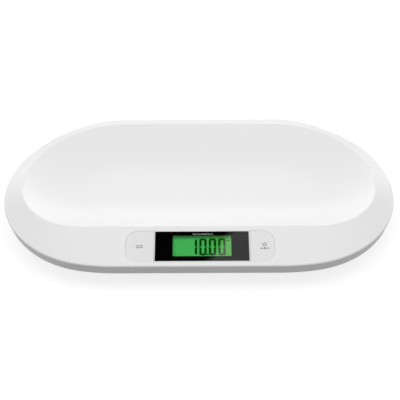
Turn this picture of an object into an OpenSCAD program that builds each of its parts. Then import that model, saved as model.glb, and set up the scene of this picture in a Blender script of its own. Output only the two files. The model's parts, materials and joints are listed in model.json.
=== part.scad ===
// Digital baby weighing scale: a white dished tray over a grey base shell, with a sloping control
// panel along the front, a lit display between two press keys, four sensor feet and a battery bay
// under the base. Millimetres, +X to the user's right, +Y to the back, +Z up, floor at Z = 0.

/* [Overall] */
// Overall width, end to end
scale_w = 556; // [530:1:600]
// Overall depth, front to back
scale_d = 328; // [320:1:350]
// Height of the rim's outer edge above the floor
rim_z = 50; // [48:1:60]
// Height of the crest round the bowl above the rim's outer edge
crest_rise = 12; // [9:0.5:15]

/* [Tray shell] */
// Wall of the tray
tray_wall = 2.8; // [2.4:0.1:3.4]
// Visible height of the tray's edge
lip_h = 3; // [2.6:0.1:4]
// Radius that eases the tray's edge
edge_ease = 2.4; // [1.6:0.1:2.5]
// Width of the rim at the two ends
rim_side = 25.5; // [22:0.5:30]
// Width of the rim at the back
rim_back = 28; // [24:0.5:34]
// Depth of the control rim at the front
rim_front = 66; // [64:0.5:74]
// Corner radius of the bowl at the front
bowl_front_r = 88; // [86:1:96]
// Depth of the bowl below its crest
bowl_depth = 26; // [18:0.5:27]
// Radius on top of the crest
crest_r = 5; // [3:0.5:6]
// Distance from the crest in to the bowl's flat floor
bowl_reach = 84; // [70:1:85]
// Height of the locating rib under the tray's edge
rib_h = 3.5; // [2.5:0.5:4.5]
// Thickness of the locating rib
rib_t = 2; // [1.5:0.1:2.5]

/* [Base shell] */
// Wall of the base shell
base_wall = 2.5; // [2.2:0.1:3]
// Height of the grey skirt below the tray's edge
skirt_h = 16; // [12:0.5:18]
// Step of the skirt in from the tray's edge
skirt_step = 0.8; // [0.5:0.1:1.5]
// Draft of the skirt, top to bottom
skirt_draft = 3.2; // [2:0.1:4]
// How far in the sloping belly meets the flat underside
belly_inset = 50; // [46:0.5:56]
// Height of the flat underside above the floor
underside_z = 8; // [7:0.5:10]

/* [Housing screws] */
// Diameter of the screw shank
screw_d = 3; // [2.5:0.1:3.5]
// Diameter of the screw head
screw_head_d = 6; // [5:0.1:7]
// Height of the screw head
screw_head_h = 2.2; // [1.8:0.1:2.6]
// Length of the shank under the head
screw_l = 12; // [10:0.5:14]
// Diameter of the base's screw posts
post_d = 12; // [11:0.5:14]
// Diameter of the tray's screw bosses
boss_d = 8; // [7:0.5:9]

/* [Control panel] */
// Length of the panel recess
panel_w = 203; // [200:0.5:208]
// Height of the panel recess, up the slope
panel_h = 53; // [51.5:0.5:54]
// Corner radius of the panel recess
panel_r = 18; // [12:0.5:22]
// Depth of the panel recess
panel_deep = 4; // [3.6:0.1:4.6]
// Sideways place of the panel's centre
panel_x = 1.5; // [-3:0.5:3]
// Distance from the tray's front edge to the panel's centre
panel_from_front = 31.9; // [31.5:0.1:33]
// Gap round a moving or dropped-in piece
fit_gap = 0.4; // [0.3:0.05:0.6]

/* [Display] */
// Length of the black lens
lens_w = 127.5; // [120:0.5:130]
// Height of the black lens
lens_h = 49.6; // [48:0.1:49.8]
// Thickness of the lens
lens_t = 2; // [1.6:0.1:2.2]
// Sideways offset of the lens from the panel's centre
lens_dx = 2.5; // [-3:0.5:3]
// Height of the bezel's lip above the rim
bezel_proud = 0.4; // [0.2:0.1:0.8]
// Ledge inside the bezel that carries the lens
lens_ledge = 2.4; // [1.8:0.1:3]
// Thickness of the black film under the lens
mask_t = 0.15; // [0.1:0.05:0.2]
// Thickness of the foam gasket under the film
gasket_t = 0.3; // [0.2:0.05:0.4]
// Length of the display window seen through the lens
window_w = 79.6; // [76:0.2:82]
// Height of the display window seen through the lens
window_h = 35.8; // [34:0.2:36.4]
// Length of the display glass
glass_w = 84; // [83:0.5:88]
// Height of the display glass
glass_h = 40; // [37:0.5:41]
// Thickness of the display glass
glass_t = 2.8; // [2.2:0.1:3]
// Depth of the display glass below the panel's face
glass_deep = 3.2; // [3.1:0.1:3.8]
// Thickness of the light guide behind the glass
guide_t = 2.6; // [2:0.1:3]
// Wall of the holder round the glass
holder_wall = 2; // [1.6:0.1:2.4]
// Thickness of the holder's lip over the glass
holder_lip = 0.8; // [0.5:0.1:0.9]
// Height of the display's figures
digit_h = 28.4; // [24:0.2:30]
// Width of one figure
digit_w = 8.8; // [8:0.2:10]
// Distance from one figure to the next
digit_pitch = 12.9; // [11.5:0.1:13.5]
// Width of one stroke of a figure
stroke = 2; // [1.4:0.1:2.4]
// Distance from the last figure's middle to the window's right edge
digit_margin = 13.2; // [8:0.2:16]
// Distance of the figures' middle below the window's middle
digit_drop = 0.6; // [0:0.1:1]

/* [Circuit board] */
// Length of the board
board_w = 188; // [186:0.5:190]
// Height of the board, up the slope
board_h = 46; // [44.5:0.5:47]
// Thickness of the board
board_t = 1.6; // [1.2:0.1:2]
// Depth of the board's upper face below the panel's face
board_deep = 12.4; // [12.1:0.1:13]
// Diameter of the board's screw shank
board_screw_d = 2.2; // [2:0.1:2.6]
// Length of a lead plug
plug_w = 10; // [8:0.5:12]
// Depth of a lead plug
plug_d = 5.5; // [4.5:0.1:6.5]
// Height of a lead plug
plug_h = 4.5; // [3.5:0.1:5.5]
// Distance from one lead plug to the next
plug_pitch = 18; // [14:0.5:18]
// Distance of the outer lead plugs from the display's middle
plug_out = 48; // [44:0.5:50]
// Diameter of the chip's potting
potting_d = 14; // [10:0.5:16]
// Height of the chip's potting
potting_h = 1.4; // [1:0.1:2]
// Side of a tact switch
switch_side = 6; // [5.5:0.1:7]
// Height of a tact switch's case
switch_h = 3.5; // [3.2:0.1:4]
// Diameter of a tact switch's stem
switch_stem_d = 3.4; // [3:0.1:3.6]

/* [Keys] */
// Thickness of a key's plate
key_t = 2.4; // [2:0.1:2.6]
// Depth of a key's face below the rim
key_sunk = 0.3; // [0:0.1:0.5]
// Travel of a key
key_travel = 0.6; // [0.3:0.1:0.7]
// Sideways place of the left key's finger dish from the panel's centre
unit_key_x = -82.5; // [-86:0.5:-78]
// Sideways place of the right key's finger dish from the panel's centre
power_key_x = 87.5; // [82:0.5:88]
// Diameter of the finger dish in a key
dish_d = 19; // [16:0.5:22]
// Depth of the finger dish
dish_deep = 0.6; // [0.4:0.1:0.9]
// Diameter of a key's plunger
plunger_d = 5; // [4.5:0.1:6]

/* [Feet and sensors] */
// Distance of a foot's middle from the end of the scale
foot_in_x = 113; // [110:1:125]
// Distance of a foot's middle from the front or back of the scale
foot_in_y = 96; // [95:1:104]
// Diameter of a foot
foot_d = 36; // [33:0.5:38]
// Diameter of a foot's rubber pad
pad_d = 32; // [28:0.5:32.5]
// Thickness of a foot's rubber pad
pad_t = 2.5; // [2:0.1:3]
// Width of the flange that keeps a foot in
flange_w = 3.5; // [3:0.1:4]
// Travel of a foot on its sensor
foot_travel = 0.6; // [0.3:0.05:0.65]
// Side of a sensor plate
cell_side = 28; // [26:0.5:29]
// Thickness of a sensor plate
cell_t = 2; // [1.6:0.1:2.4]
// Thickness of a sensor bridge
bridge_t = 2.5; // [2:0.1:3]
// Width of a sensor bridge
bridge_w = 12; // [10:0.5:14]
// Distance between a bridge's two screws
bridge_span = 60; // [58:0.5:64]

/* [Battery bay] */
// Diameter of a cell
aaa_d = 10.5; // [10:0.1:10.6]
// Length of a cell
aaa_l = 44.5; // [43.5:0.1:45]
// Number of cells
aaa_count = 4; // [3:1:4]
// Distance from one cell to the next
aaa_pitch = 11.5; // [11:0.1:12]
// Length inside the bay
bay_l = 54; // [53.5:0.5:56]
// Wall of the bay
bay_wall = 2; // [1.6:0.1:2.4]
// Width of the ledge that the door lies under
door_ledge = 4; // [3.8:0.1:4.6]
// Thickness of the door
door_t = 2; // [1.8:0.1:2.4]
// Front or back place of the bay
bay_y = 6; // [0:1:12]
// How far the door opens, in degrees
door_opens = 100; // [90:1:105]

/* [Leads] */
// Diameter of a sensor lead
lead_d = 3; // [2:0.1:3.4]

/* [Hidden] */

// Colours
WHITE = "#f2f2f2";
GREY = "#b6b8ba";
BLACK = "#141414";
GREEN = "#45b04e";
BOARD_GREEN = "#1f6b3a";
STEEL = "#c3c6c9";
RUBBER = "#3a3a3c";

// Ends of the stadium outline that the tray's edge and the base follow
outer_r = scale_d / 2;
outer_s = scale_w / 2 - outer_r;
crest_z = rim_z + crest_rise;
seam_z = rim_z - lip_h;

// The bowl's crest: large arcs at the back, smaller ones at the front, meeting at crest_y
crest_x = scale_w / 2 - rim_side;
crest_y = -outer_r + rim_front + bowl_front_r;
crest_back_r = outer_r - rim_back - crest_y;
crest_back_s = crest_x - crest_back_r;
crest_front_s = crest_x - bowl_front_r;
reach = min(bowl_reach, bowl_front_r - 3);

// Steps of each quarter turn of the tray's outline, and of the bowl's dish
QUARTER_STEPS = 22;
DISH_STEPS = 9;
eps = 0.01;

// The rim rises straight to BREAK of its width, then eases over the crest
RIM_BREAK = 0.95;
RIM_BREAK_RISE = 0.965;
tilt = atan2(crest_rise * RIM_BREAK_RISE, RIM_BREAK * (rim_front - edge_ease));
panel_y = -outer_r + panel_from_front;
panel_z = rim_z + (panel_from_front - edge_ease) * tan(tilt);

// Depths below the panel's face
pocket_floor = 2.5;
pocket_wall = 2;
pocket_deep = panel_deep + pocket_floor;
bezel_border = (panel_h - 2 * fit_gap - lens_h - 0.4) / 2;
bezel_w = lens_w + 0.4 + 2 * bezel_border;
bezel_h = panel_h - 2 * fit_gap;
lens_seat = lens_t + mask_t + gasket_t;
film_gap = 0.3;
lens_gap = 0.2;
holder_reveal = 1;
figure_t = 0.2;

// Key plungers stand on the switches below their finger dishes
switch_stem_out = 1.5;
key_foot = board_deep - switch_h - switch_stem_out;
key_x = [unit_key_x, power_key_x];
guide_d = 3;
guide_dy = 15;

// Board screws sit between the display holder and the switches, plugs along the upper edge
board_screw_x = lens_w / 2 - 3.75;
board_screw_y = board_h / 2 - 4.5;
plug_at_x = [-plug_out, plug_pitch - plug_out, 0, plug_out - plug_pitch, plug_out];
plug_y = board_h / 2 - plug_d / 2 - 4.25;

// Foot stack, from the floor up
foot_x = scale_w / 2 - foot_in_x;
foot_y = outer_r - foot_in_y;
foot_xy = [[-foot_x, -foot_y], [foot_x, -foot_y], [-foot_x, foot_y], [foot_x, foot_y]];
opening_r = foot_d / 2 + fit_gap;
flange_r = foot_d / 2 + flange_w;
base_floor_z = underside_z + base_wall;
flange_z = base_floor_z;
flange_h = 2.2;
cell_z = flange_z + flange_h;
cell_top = cell_z + cell_t;
presser_gap = foot_travel + 0.2;
presser_z = cell_top + presser_gap;
bridge_z = presser_z + 2;
collar_r = flange_r + fit_gap;
collar_t = 1.8;
collar_h = 3.5;

// Battery bay
bay_w = aaa_count * aaa_pitch + 0.6;
bay_top = underside_z + door_t + aaa_d + 1.2;
door_l = bay_l + 2 * door_ledge;
door_w = bay_w + 2 * door_ledge;
door_gap = 0.3;
hinge_r = 2;
hinge_x = -door_l / 2 + hinge_r;
hinge_z = underside_z + hinge_r;
// The open door's outer face passes this far beyond the hinge line at the base's underside
hinge_reach = hinge_r * tan(door_opens / 2) + door_gap;
pin_r = 1.2;
pin_l = 1.6;
latch_w = 12;
latch_t = 1.2;
latch_h = 1.4;
thumb_w = 16;
thumb_out = 6;
plate_t = 0.5;
plate_w = aaa_pitch - 2.5;
plate_h = aaa_d - 1.9;
frame_top = underside_z + door_t + 4;
aaa_z = underside_z + door_t + 0.4 + aaa_d / 2;
nub_d = 3.8;
nub_h = 0.8;

// Housing screws: places, and the height where base post meets tray boss
screw_inset = 18;
function end_screw(side, a) = let (r = outer_r - screw_inset)
    [side * (outer_s + r * cos(a)), r * sin(a)];
screw_at = [for (side = [-1, 1]) each [
    [side * 0.6 * outer_s, outer_r - screw_inset], end_screw(side, 48), end_screw(side, -10),
    [side * (outer_s + 24), -outer_r + 32]]];
joint_z = seam_z - 10;
web_t = 3;
head_z = joint_z - web_t - screw_head_h;

// Points of a quarter turn about c, without the last one where the next arc starts there
function quarter(c, r, a0, last = QUARTER_STEPS) =
    [for (i = [0 : last]) let (a = a0 + 90 * i / QUARTER_STEPS)
        [c.x + r * cos(a), c.y + r * sin(a)]];

// Closed outline of four quarter turns: back arcs (sb, rb) and front arcs (sf, rf) about y = yc
function four_arcs(sb, rb, sf, rf, yc) = concat(
    quarter([sb, yc], rb, 0), quarter([-sb, yc], rb, 90, QUARTER_STEPS - 1),
    quarter([-sf, yc], rf, 180), quarter([sf, yc], rf, 270, QUARTER_STEPS - 1));

function edge_line(inset) = four_arcs(outer_s, outer_r - inset, outer_s, outer_r - inset, 0);
function crest_line(d) =
    four_arcs(crest_back_s, crest_back_r - d, crest_front_s, bowl_front_r - d, crest_y);
function at_height(line, z) = [for (p = line) [p.x, p.y, z]];
function between(a, b, t) = [for (i = [0 : len(a) - 1]) a[i] + (b[i] - a[i]) * t];

// The bowl's section as [distance in from the crest, drop below the crest, slope in degrees]:
// a rounded crest, then a parabola that comes down to the flat floor
dish_slope = atan(2 * bowl_depth / reach);
dish_in = crest_r * sin(dish_slope);
dish_down = crest_r * (1 - cos(dish_slope));
function dish_at(t) = [dish_in + (reach - dish_in) * t,
    dish_down + (bowl_depth - dish_down) * (1 - pow(1 - t, 2)), dish_slope * (1 - t)];
bowl_section = concat(
    [for (j = [0 : 2]) let (a = dish_slope * j / 3) [crest_r * sin(a), crest_r * (1 - cos(a)), a]],
    [for (j = [0 : DISH_STEPS]) dish_at(j / DISH_STEPS)]);

// Rings of the tray's skin, from the bowl's floor out over the rim and back underneath
rim_start = at_height(edge_line(edge_ease), rim_z);
rim_end = at_height(crest_line(0), crest_z);
function rim_ring(t, drop) = [for (p = between(rim_start, rim_end, t))
    [p.x, p.y, rim_z + crest_rise * t * RIM_BREAK_RISE / RIM_BREAK - drop]];
function bowl_ring(s, thick) =
    at_height(crest_line(s[0] - thick * sin(s[2])), crest_z - s[1] - thick * cos(s[2]));
rib_in = skirt_step + base_wall + 0.5 + skirt_draft * rib_h / skirt_h;
tray_rings = concat(
    [for (i = [len(bowl_section) - 1 : -1 : 0]) bowl_ring(bowl_section[i], 0)],
    [rim_ring(RIM_BREAK, 0), rim_ring(0.5, 0)],
    [for (a = [0, 30, 60, 90])
        at_height(edge_line(edge_ease * (1 - sin(a))), rim_z - edge_ease * (1 - cos(a)) * 0.8)],
    [at_height(edge_line(0), seam_z), at_height(edge_line(rib_in), seam_z),
     at_height(edge_line(rib_in), seam_z - rib_h),
     at_height(edge_line(rib_in + rib_t), seam_z - rib_h),
     at_height(edge_line(rib_in + rib_t), seam_z)],
    [rim_ring(0.5, tray_wall), rim_ring(RIM_BREAK, tray_wall)],
    [for (s = bowl_section) bowl_ring(s, tray_wall)]);

// Skins a stack of rings that all have the same number of points, and caps both ends
module skin(rings) {
    n = len(rings[0]);
    last = len(rings) - 1;
    points = [for (r = rings, p = r) p];
    sides = [for (k = [0 : last - 1], i = [0 : n - 1]) let (j = (i + 1) % n)
        each [[k * n + i, (k + 1) * n + j, k * n + j],
              [k * n + i, (k + 1) * n + i, (k + 1) * n + j]]];
    polyhedron(points, concat([[for (i = [0 : n - 1]) i]], sides,
        [[for (i = [n - 1 : -1 : 0]) last * n + i]]));
}

// Rounded rectangle, its corners drawn as arcs of short chords
function round_rect(w, h, r, steps = 8) =
    [for (q = [[1, 1, 0], [-1, 1, 90], [-1, -1, 180], [1, -1, 270]], i = [0 : steps])
        let (a = q[2] + 90 * i / steps)
        [q[0] * (w / 2 - r) + r * cos(a), q[1] * (h / 2 - r) + r * sin(a)]];

module plate(w, h, r, z0, z1, steps = 8)
    translate([0, 0, z0]) linear_extrude(z1 - z0) polygon(round_rect(w, h, r, steps));

module box(w, h, z0, z1)
    translate([-w / 2, -h / 2, z0]) cube([w, h, z1 - z0]);

module rod(d, z0, z1, fn = 32)
    translate([0, 0, z0]) cylinder(d = d, h = z1 - z0, $fn = fn);

// Places children in the control panel's frame: X along it, Y up the slope, Z out of its face
module on_panel()
    translate([panel_x, panel_y, panel_z]) rotate([tilt, 0, 0]) children();

// Places children at the four feet
module at_foot(i)
    translate([foot_xy[i].x, foot_xy[i].y, 0]) children();

// Height just under the rim's upper face at the low side of a boss that stands at p
function inset_at(p) = outer_r - norm([max(abs(p.x) - outer_s, 0), p.y]);
function boss_top(p) = rim_z - 0.6 + crest_rise * (p.y < -outer_r / 2
    ? (p.y - boss_d / 2 + outer_r - edge_ease) / (rim_front - edge_ease)
    : (inset_at(p) - boss_d / 2 - edge_ease) / (rim_back - edge_ease));

// Half section of the base: distance from the outline's spine, then height
skirt_foot_r = outer_r - skirt_step - skirt_draft;
function base_section(wall) = let (top = seam_z + (wall > 0 ? 1 : 0)) [
    [0, underside_z + wall], [outer_r - belly_inset - wall * 0.23, underside_z + wall],
    [skirt_foot_r - 2.2 - wall, seam_z - skirt_h - 0.6 + wall * 0.85],
    [skirt_foot_r - 0.5 - wall, seam_z - skirt_h + 0.5 + wall * 0.6],
    [skirt_foot_r - wall + 0.3, seam_z - skirt_h + 2 + wall * 0.5],
    [outer_r - skirt_step - wall, top], [0, top]];

// Sweeps a half section round the stadium outline: a half turn at each end, a straight between
module stadium_sweep(section) {
    for (side = [-1, 1])
        translate([side * outer_s, 0, 0]) rotate([0, 0, side > 0 ? -90 : 90])
            rotate_extrude(angle = 180, $fn = 96) polygon(section);
    for (turn = [0, 180])
        rotate([0, 0, turn]) translate([-outer_s, 0, 0]) rotate([90, 0, 90])
            linear_extrude(2 * outer_s) polygon(section);
}

// ---------------------------------------------------------------- tray

module tray_shell() color(WHITE) difference() {
    union() {
        skin([for (k = [len(tray_rings) - 1 : -1 : 0]) tray_rings[k]]);
        on_panel() plate(panel_w + 2 * pocket_wall, panel_h + 2 * pocket_wall,
            panel_r + pocket_wall, -pocket_deep, -1.2);
        for (p = screw_at)
            translate([p.x, p.y, 0]) rod(boss_d, joint_z, boss_top(p));
        on_panel() for (x = [-1, 1], y = [-1, 1])
            translate([lens_dx + x * board_screw_x, y * board_screw_y, 0])
                rod(6, -board_deep, -panel_deep - eps);
    }
    on_panel() {
        plate(panel_w, panel_h, panel_r, -panel_deep, 4);
        translate([lens_dx, 0, 0]) box(glass_w + 2 * holder_wall + 2 * fit_gap,
            glass_h + 2 * holder_wall + 2 * fit_gap, -pocket_deep - 1, 1);
        for (x = key_x) translate([x, 0, 0]) {
            rod(plunger_d + 2 * fit_gap, -pocket_deep - 1, 0);
            for (y = [-1, 1]) translate([0, y * guide_dy, 0])
                rod(guide_d + 2 * fit_gap, -pocket_deep - 1, 0);
        }
        for (x = [-1, 1], y = [-1, 1])
            translate([lens_dx + x * board_screw_x, y * board_screw_y, 0])
                rod(board_screw_d - 0.1, -board_deep - 1, -panel_deep - 2);
    }
    for (p = screw_at)
        translate([p.x, p.y, 0]) rod(screw_d, joint_z - 1, joint_z + screw_l - web_t + 1);
}

// ---------------------------------------------------------------- base

module base_posts() {
    for (p = screw_at) translate([p.x, p.y, 0]) rod(post_d, underside_z, joint_z);
}

module battery_bay_solid() translate([0, bay_y, 0]) {
    box(door_l + 2 * door_gap + 2 * bay_wall, door_w + 2 * door_gap + 2 * bay_wall,
        underside_z, frame_top);
    box(bay_l + 2 * bay_wall, bay_w + 2 * bay_wall, underside_z, bay_top + bay_wall);
}

module battery_bay_cuts() translate([0, bay_y, 0]) {
    box(door_l + 2 * door_gap, door_w + 2 * door_gap, underside_z - 1, underside_z + door_t + 0.2);
    translate([hinge_x - hinge_reach, -(door_w / 2 + door_gap), underside_z - 1])
        cube([hinge_reach + hinge_r + door_gap, door_w + 2 * door_gap, 1 + 2 * hinge_r + door_gap]);
    box(bay_l, bay_w, underside_z - 1, bay_top);
    translate([hinge_x, 0, hinge_z]) rotate([90, 0, 0])
        cylinder(r = pin_r + 0.06, h = door_w + 2 * door_gap + 2 * pin_l, center = true, $fn = 32);
    translate([door_l / 2 - latch_t - door_gap, -latch_w / 2 - 0.5, underside_z - 1])
        cube([latch_t + 2 * door_gap, latch_w + 1, 1 + door_t + latch_h + 0.2]);
    translate([door_l / 2 - 1, -thumb_w / 2, underside_z - 1])
        cube([1 + thumb_out, thumb_w, 1 + 0.9]);
}

module foot_seats() {
    for (i = [0 : 3]) at_foot(i) {
        rod(2 * (collar_r + collar_t), base_floor_z - 1, base_floor_z + collar_h, 64);
        for (s = [-1, 1]) translate([s * bridge_span / 2, 0, 0])
            rod(8, base_floor_z - 1, bridge_z);
    }
}

module base_shell() color(GREY) difference() {
    union() {
        difference() {
            stadium_sweep(base_section(0));
            stadium_sweep(base_section(base_wall));
        }
        intersection() {
            stadium_sweep(base_section(0));
            base_posts();
        }
        battery_bay_solid();
        foot_seats();
    }
    for (p = screw_at) translate([p.x, p.y, 0]) {
        rod(screw_head_d + 1, 0, joint_z - web_t);
        rod(screw_d + 0.6, joint_z - web_t - 1, joint_z + 1);
    }
    battery_bay_cuts();
    for (i = [0 : 3]) at_foot(i) {
        rod(2 * opening_r, 0, base_floor_z + 1, 64);
        rod(2 * collar_r, base_floor_z, base_floor_z + collar_h + 1, 64);
        for (s = [-1, 1]) translate([s * bridge_span / 2, 0, 0])
            rod(2.1, base_floor_z + 0.5, bridge_z + 1);
    }
}

// ---------------------------------------------------------------- display

module panel_bezel() color(WHITE) on_panel() translate([lens_dx, 0, 0]) difference() {
    box(bezel_w, bezel_h, -panel_deep, bezel_proud);
    box(lens_w + 2 * lens_gap, lens_h + 2 * lens_gap, -lens_seat, bezel_proud + 1);
    box(lens_w - 2 * lens_ledge, lens_h - 2 * lens_ledge, -panel_deep - 1, 0);
}

module display_lens() color("#e8eef0", 0.3) on_panel() translate([lens_dx, 0, 0])
    plate(lens_w, lens_h, 1, -lens_t, 0, 4);

// Black film behind the clear lens, open at the display's window
module lens_mask() color(BLACK) on_panel() translate([lens_dx, 0, 0]) difference() {
    box(lens_w - 2 * film_gap, lens_h - 2 * film_gap, -lens_t - mask_t, -lens_t);
    box(window_w, window_h, -lens_t - 1, 0);
}

module lens_gasket() color(BLACK) on_panel() translate([lens_dx, 0, 0]) difference() {
    box(lens_w - 2 * film_gap, lens_h - 2 * film_gap, -lens_seat, -lens_t - mask_t);
    box(lens_w - 2 * lens_ledge + 0.8, lens_h - 2 * lens_ledge + 0.8, -lens_seat - 1, 0);
}

module display_glass() color(GREEN) on_panel() translate([lens_dx, 0, 0])
    box(glass_w, glass_h, -glass_deep - glass_t, -glass_deep);

// One stroke of a figure, as a bar with pointed ends
module bar(l) polygon([[-l / 2, 0], [-l / 2 + stroke / 2, stroke / 2], [l / 2 - stroke / 2, stroke / 2],
    [l / 2, 0], [l / 2 - stroke / 2, -stroke / 2], [-l / 2 + stroke / 2, -stroke / 2]]);

// Seven strokes in the order top, upper right, lower right, foot, lower left, upper left, middle
STROKES_OF = [[1, 1, 1, 1, 1, 1, 0], [0, 1, 1, 0, 0, 0, 0]];
module figure(digit) {
    half = digit_h / 2 - stroke / 2;
    side = digit_w / 2 - stroke / 2;
    at = [[0, half, 0], [side, half / 2, 90], [side, -half / 2, 90], [0, -half, 0],
          [-side, -half / 2, 90], [-side, half / 2, 90], [0, 0, 0]];
    for (s = [0 : 6]) if (STROKES_OF[digit][s])
        translate([at[s].x, at[s].y]) rotate(at[s][2]) bar((s == 0 || s == 3 ? 2 * side : half) - 0.3);
}

// The readout 10.00, right to left: three noughts, a one, and the point after the second figure
module readout_figures() color("#0b2d10") on_panel()
    translate([lens_dx + window_w / 2 - digit_margin, -digit_drop, -glass_deep])
        linear_extrude(figure_t) {
            for (k = [0 : 3]) translate([-k * digit_pitch, 0]) figure(k == 3 ? 1 : 0);
            translate([-1.5 * digit_pitch, (stroke - digit_h) / 2]) square(stroke * 0.8, center = true);
        }

module display_holder() color(WHITE) on_panel() translate([lens_dx, 0, 0]) difference() {
    box(glass_w + 2 * holder_wall, glass_h + 2 * holder_wall, -board_deep, holder_lip - glass_deep);
    box(glass_w + 0.4, glass_h + 0.4, -board_deep - 1, -glass_deep);
    box(window_w + 2 * holder_reveal, window_h + 2 * holder_reveal, -glass_deep - 1, 0);
}

module light_guide() color("#e9f5e6") on_panel() translate([lens_dx, 0, 0])
    box(glass_w - 1, glass_h - 7, -glass_deep - glass_t - guide_t, -glass_deep - glass_t);

module contact_strips() color("#8c8c90") on_panel() translate([lens_dx, 0, 0])
    for (y = [-1, 1]) translate([0, y * (glass_h / 2 - 1.6), 0])
        box(glass_w - 6, 2, -board_deep, -glass_deep - glass_t);

// ---------------------------------------------------------------- board

board_dx = (key_x[0] + key_x[1]) / 2;
module main_board() color(BOARD_GREEN) on_panel() translate([board_dx, 0, 0]) difference() {
    plate(board_w, board_h, 3, -board_deep - board_t, -board_deep, 4);
    for (x = [-1, 1], y = [-1, 1])
        translate([lens_dx - board_dx + x * board_screw_x, y * board_screw_y, 0])
            rod(board_screw_d + 0.4, -board_deep - board_t - 1, 0);
}

module board_components() color("#2b2b2e") on_panel() {
    under = -board_deep - board_t;
    translate([lens_dx, 0, 0]) rod(potting_d, under - potting_h, under, 48);
    for (x = plug_at_x) translate([lens_dx + x, plug_y, 0])
        box(plug_w, plug_d, under - plug_h, under);
    for (x = [-1, 1]) translate([lens_dx + x * (potting_d + 6), -board_h / 4, 0])
        rod(plug_h, under - plug_h, under);
}

module board_screws() color(STEEL) on_panel()
    for (x = [-1, 1], y = [-1, 1])
        translate([lens_dx + x * board_screw_x, y * board_screw_y, 0]) {
            rod(4.2, -board_deep - board_t - 1.4, -board_deep - board_t);
            rod(board_screw_d - 0.1, -board_deep - board_t - eps, -board_deep + 5);
        }

// ---------------------------------------------------------------- keys

// A key fills its end of the recess, with a finger dish, a plunger and two guide pins
module key(side) {
    x = key_x[side];
    edge = lens_dx + (side == 0 ? -1 : 1) * (bezel_w / 2 + fit_gap);
    top = -key_sunk;
    difference() {
        intersection() {
            plate(panel_w - 2 * fit_gap, panel_h - 2 * fit_gap, panel_r - fit_gap, top - key_t, top);
            translate([side == 0 ? edge - panel_w : edge, -panel_h, -panel_deep])
                cube([panel_w, 2 * panel_h, 2 * panel_deep]);
        }
        translate([x, 0, top]) scale([1, 1, 2 * dish_deep / dish_d]) sphere(d = dish_d, $fn = 48);
    }
    translate([x, 0, 0]) {
        rod(plunger_d, -key_foot, top - key_t + eps);
        for (y = [-1, 1]) translate([0, y * guide_dy, 0])
            rod(guide_d, -pocket_deep - 0.8, top - key_t + eps);
    }
}

module unit_key() color("#e6e6e6") on_panel() key(0);
module power_key() color("#e6e6e6") on_panel() key(1);

module tact_switch(side) on_panel() translate([key_x[side], 0, 0]) difference() {
    box(switch_side, switch_side, -board_deep, -board_deep + switch_h);
    rod(switch_stem_d + 0.1, -board_deep + 1, 0);
}
module unit_switch() color("#2b2b2e") tact_switch(0);
module power_switch() color("#2b2b2e") tact_switch(1);

module switch_stem(side) on_panel() translate([key_x[side], 0, 0])
    rod(switch_stem_d, -board_deep + switch_h - 1.6, -key_foot);
module unit_switch_stem() color("#b0302c") switch_stem(0);
module power_switch_stem() color("#b0302c") switch_stem(1);

// ---------------------------------------------------------------- battery bay

module battery_door() color(GREY) translate([0, bay_y, 0]) {
    difference() {
        translate([hinge_x, -door_w / 2, underside_z])
            cube([door_l / 2 - hinge_x, door_w, door_t]);
        for (s = [-1, 1]) translate([door_l / 2 - 10, s * (latch_w / 2 + 0.6) - 0.6, underside_z - 1])
            cube([11, 1.2, door_t + 2]);
    }
    translate([hinge_x, 0, hinge_z]) rotate([90, 0, 0])
        cylinder(r = hinge_r, h = door_w, center = true, $fn = 48);
    translate([hinge_x, 0, hinge_z]) rotate([90, 0, 0])
        cylinder(r = pin_r, h = door_w + 2 * door_gap + 2 * pin_l - 0.6, center = true, $fn = 32);
    translate([door_l / 2 - latch_t, -latch_w / 2, underside_z])
        cube([latch_t, latch_w, door_t + latch_h]);
    for (k = [0 : 3]) translate([door_l / 2 - 8 + 1.6 * k, -4, underside_z - 0.3])
        cube([0.8, 8, 0.3 + eps]);
}

// Cells lie side by side, every second one turned round
function cell_side_of(k) = k % 2 == 0 ? 1 : -1;
module at_cell(k)
    translate([0, bay_y + (k - (aaa_count - 1) / 2) * aaa_pitch, aaa_z])
        rotate([0, 0, cell_side_of(k) > 0 ? 0 : 180]) rotate([0, 90, 0]) children();
cell_tip = bay_l / 2 - plate_t;

module battery_cells() color("#6f8f3f")
    for (k = [0 : aaa_count - 1]) at_cell(k) {
        translate([0, 0, cell_tip - aaa_l]) cylinder(d = aaa_d, h = aaa_l - nub_h, $fn = 48);
        translate([0, 0, cell_tip - nub_h - eps]) cylinder(d = nub_d, h = nub_h + eps, $fn = 32);
    }

// Wire swept along a conical helix that narrows towards the cell
SPRING_TURNS = 4;
SPRING_WIRE = 0.7;
function spring_at(t, l) = let (r = 3.6 - 1.2 * t, a = 360 * SPRING_TURNS * t)
    [r * cos(a), r * sin(a), SPRING_WIRE / 2 + (l - SPRING_WIRE) * t];
module coil_spring(l) sweep_tube([for (i = [0 : 8 * SPRING_TURNS]) spring_at(i / (8 * SPRING_TURNS), l)],
    SPRING_WIRE, 6);

module battery_springs() color(STEEL)
    for (k = [0 : aaa_count - 1]) at_cell(k)
        translate([0, 0, -cell_tip]) coil_spring(2 * cell_tip - aaa_l);

module battery_plates() color(STEEL)
    for (k = [0 : aaa_count - 1], s = [-1, 1]) at_cell(k)
        translate([0, 0, s * (cell_tip + plate_t / 2)]) cube([plate_h, plate_w, plate_t], center = true);

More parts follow.
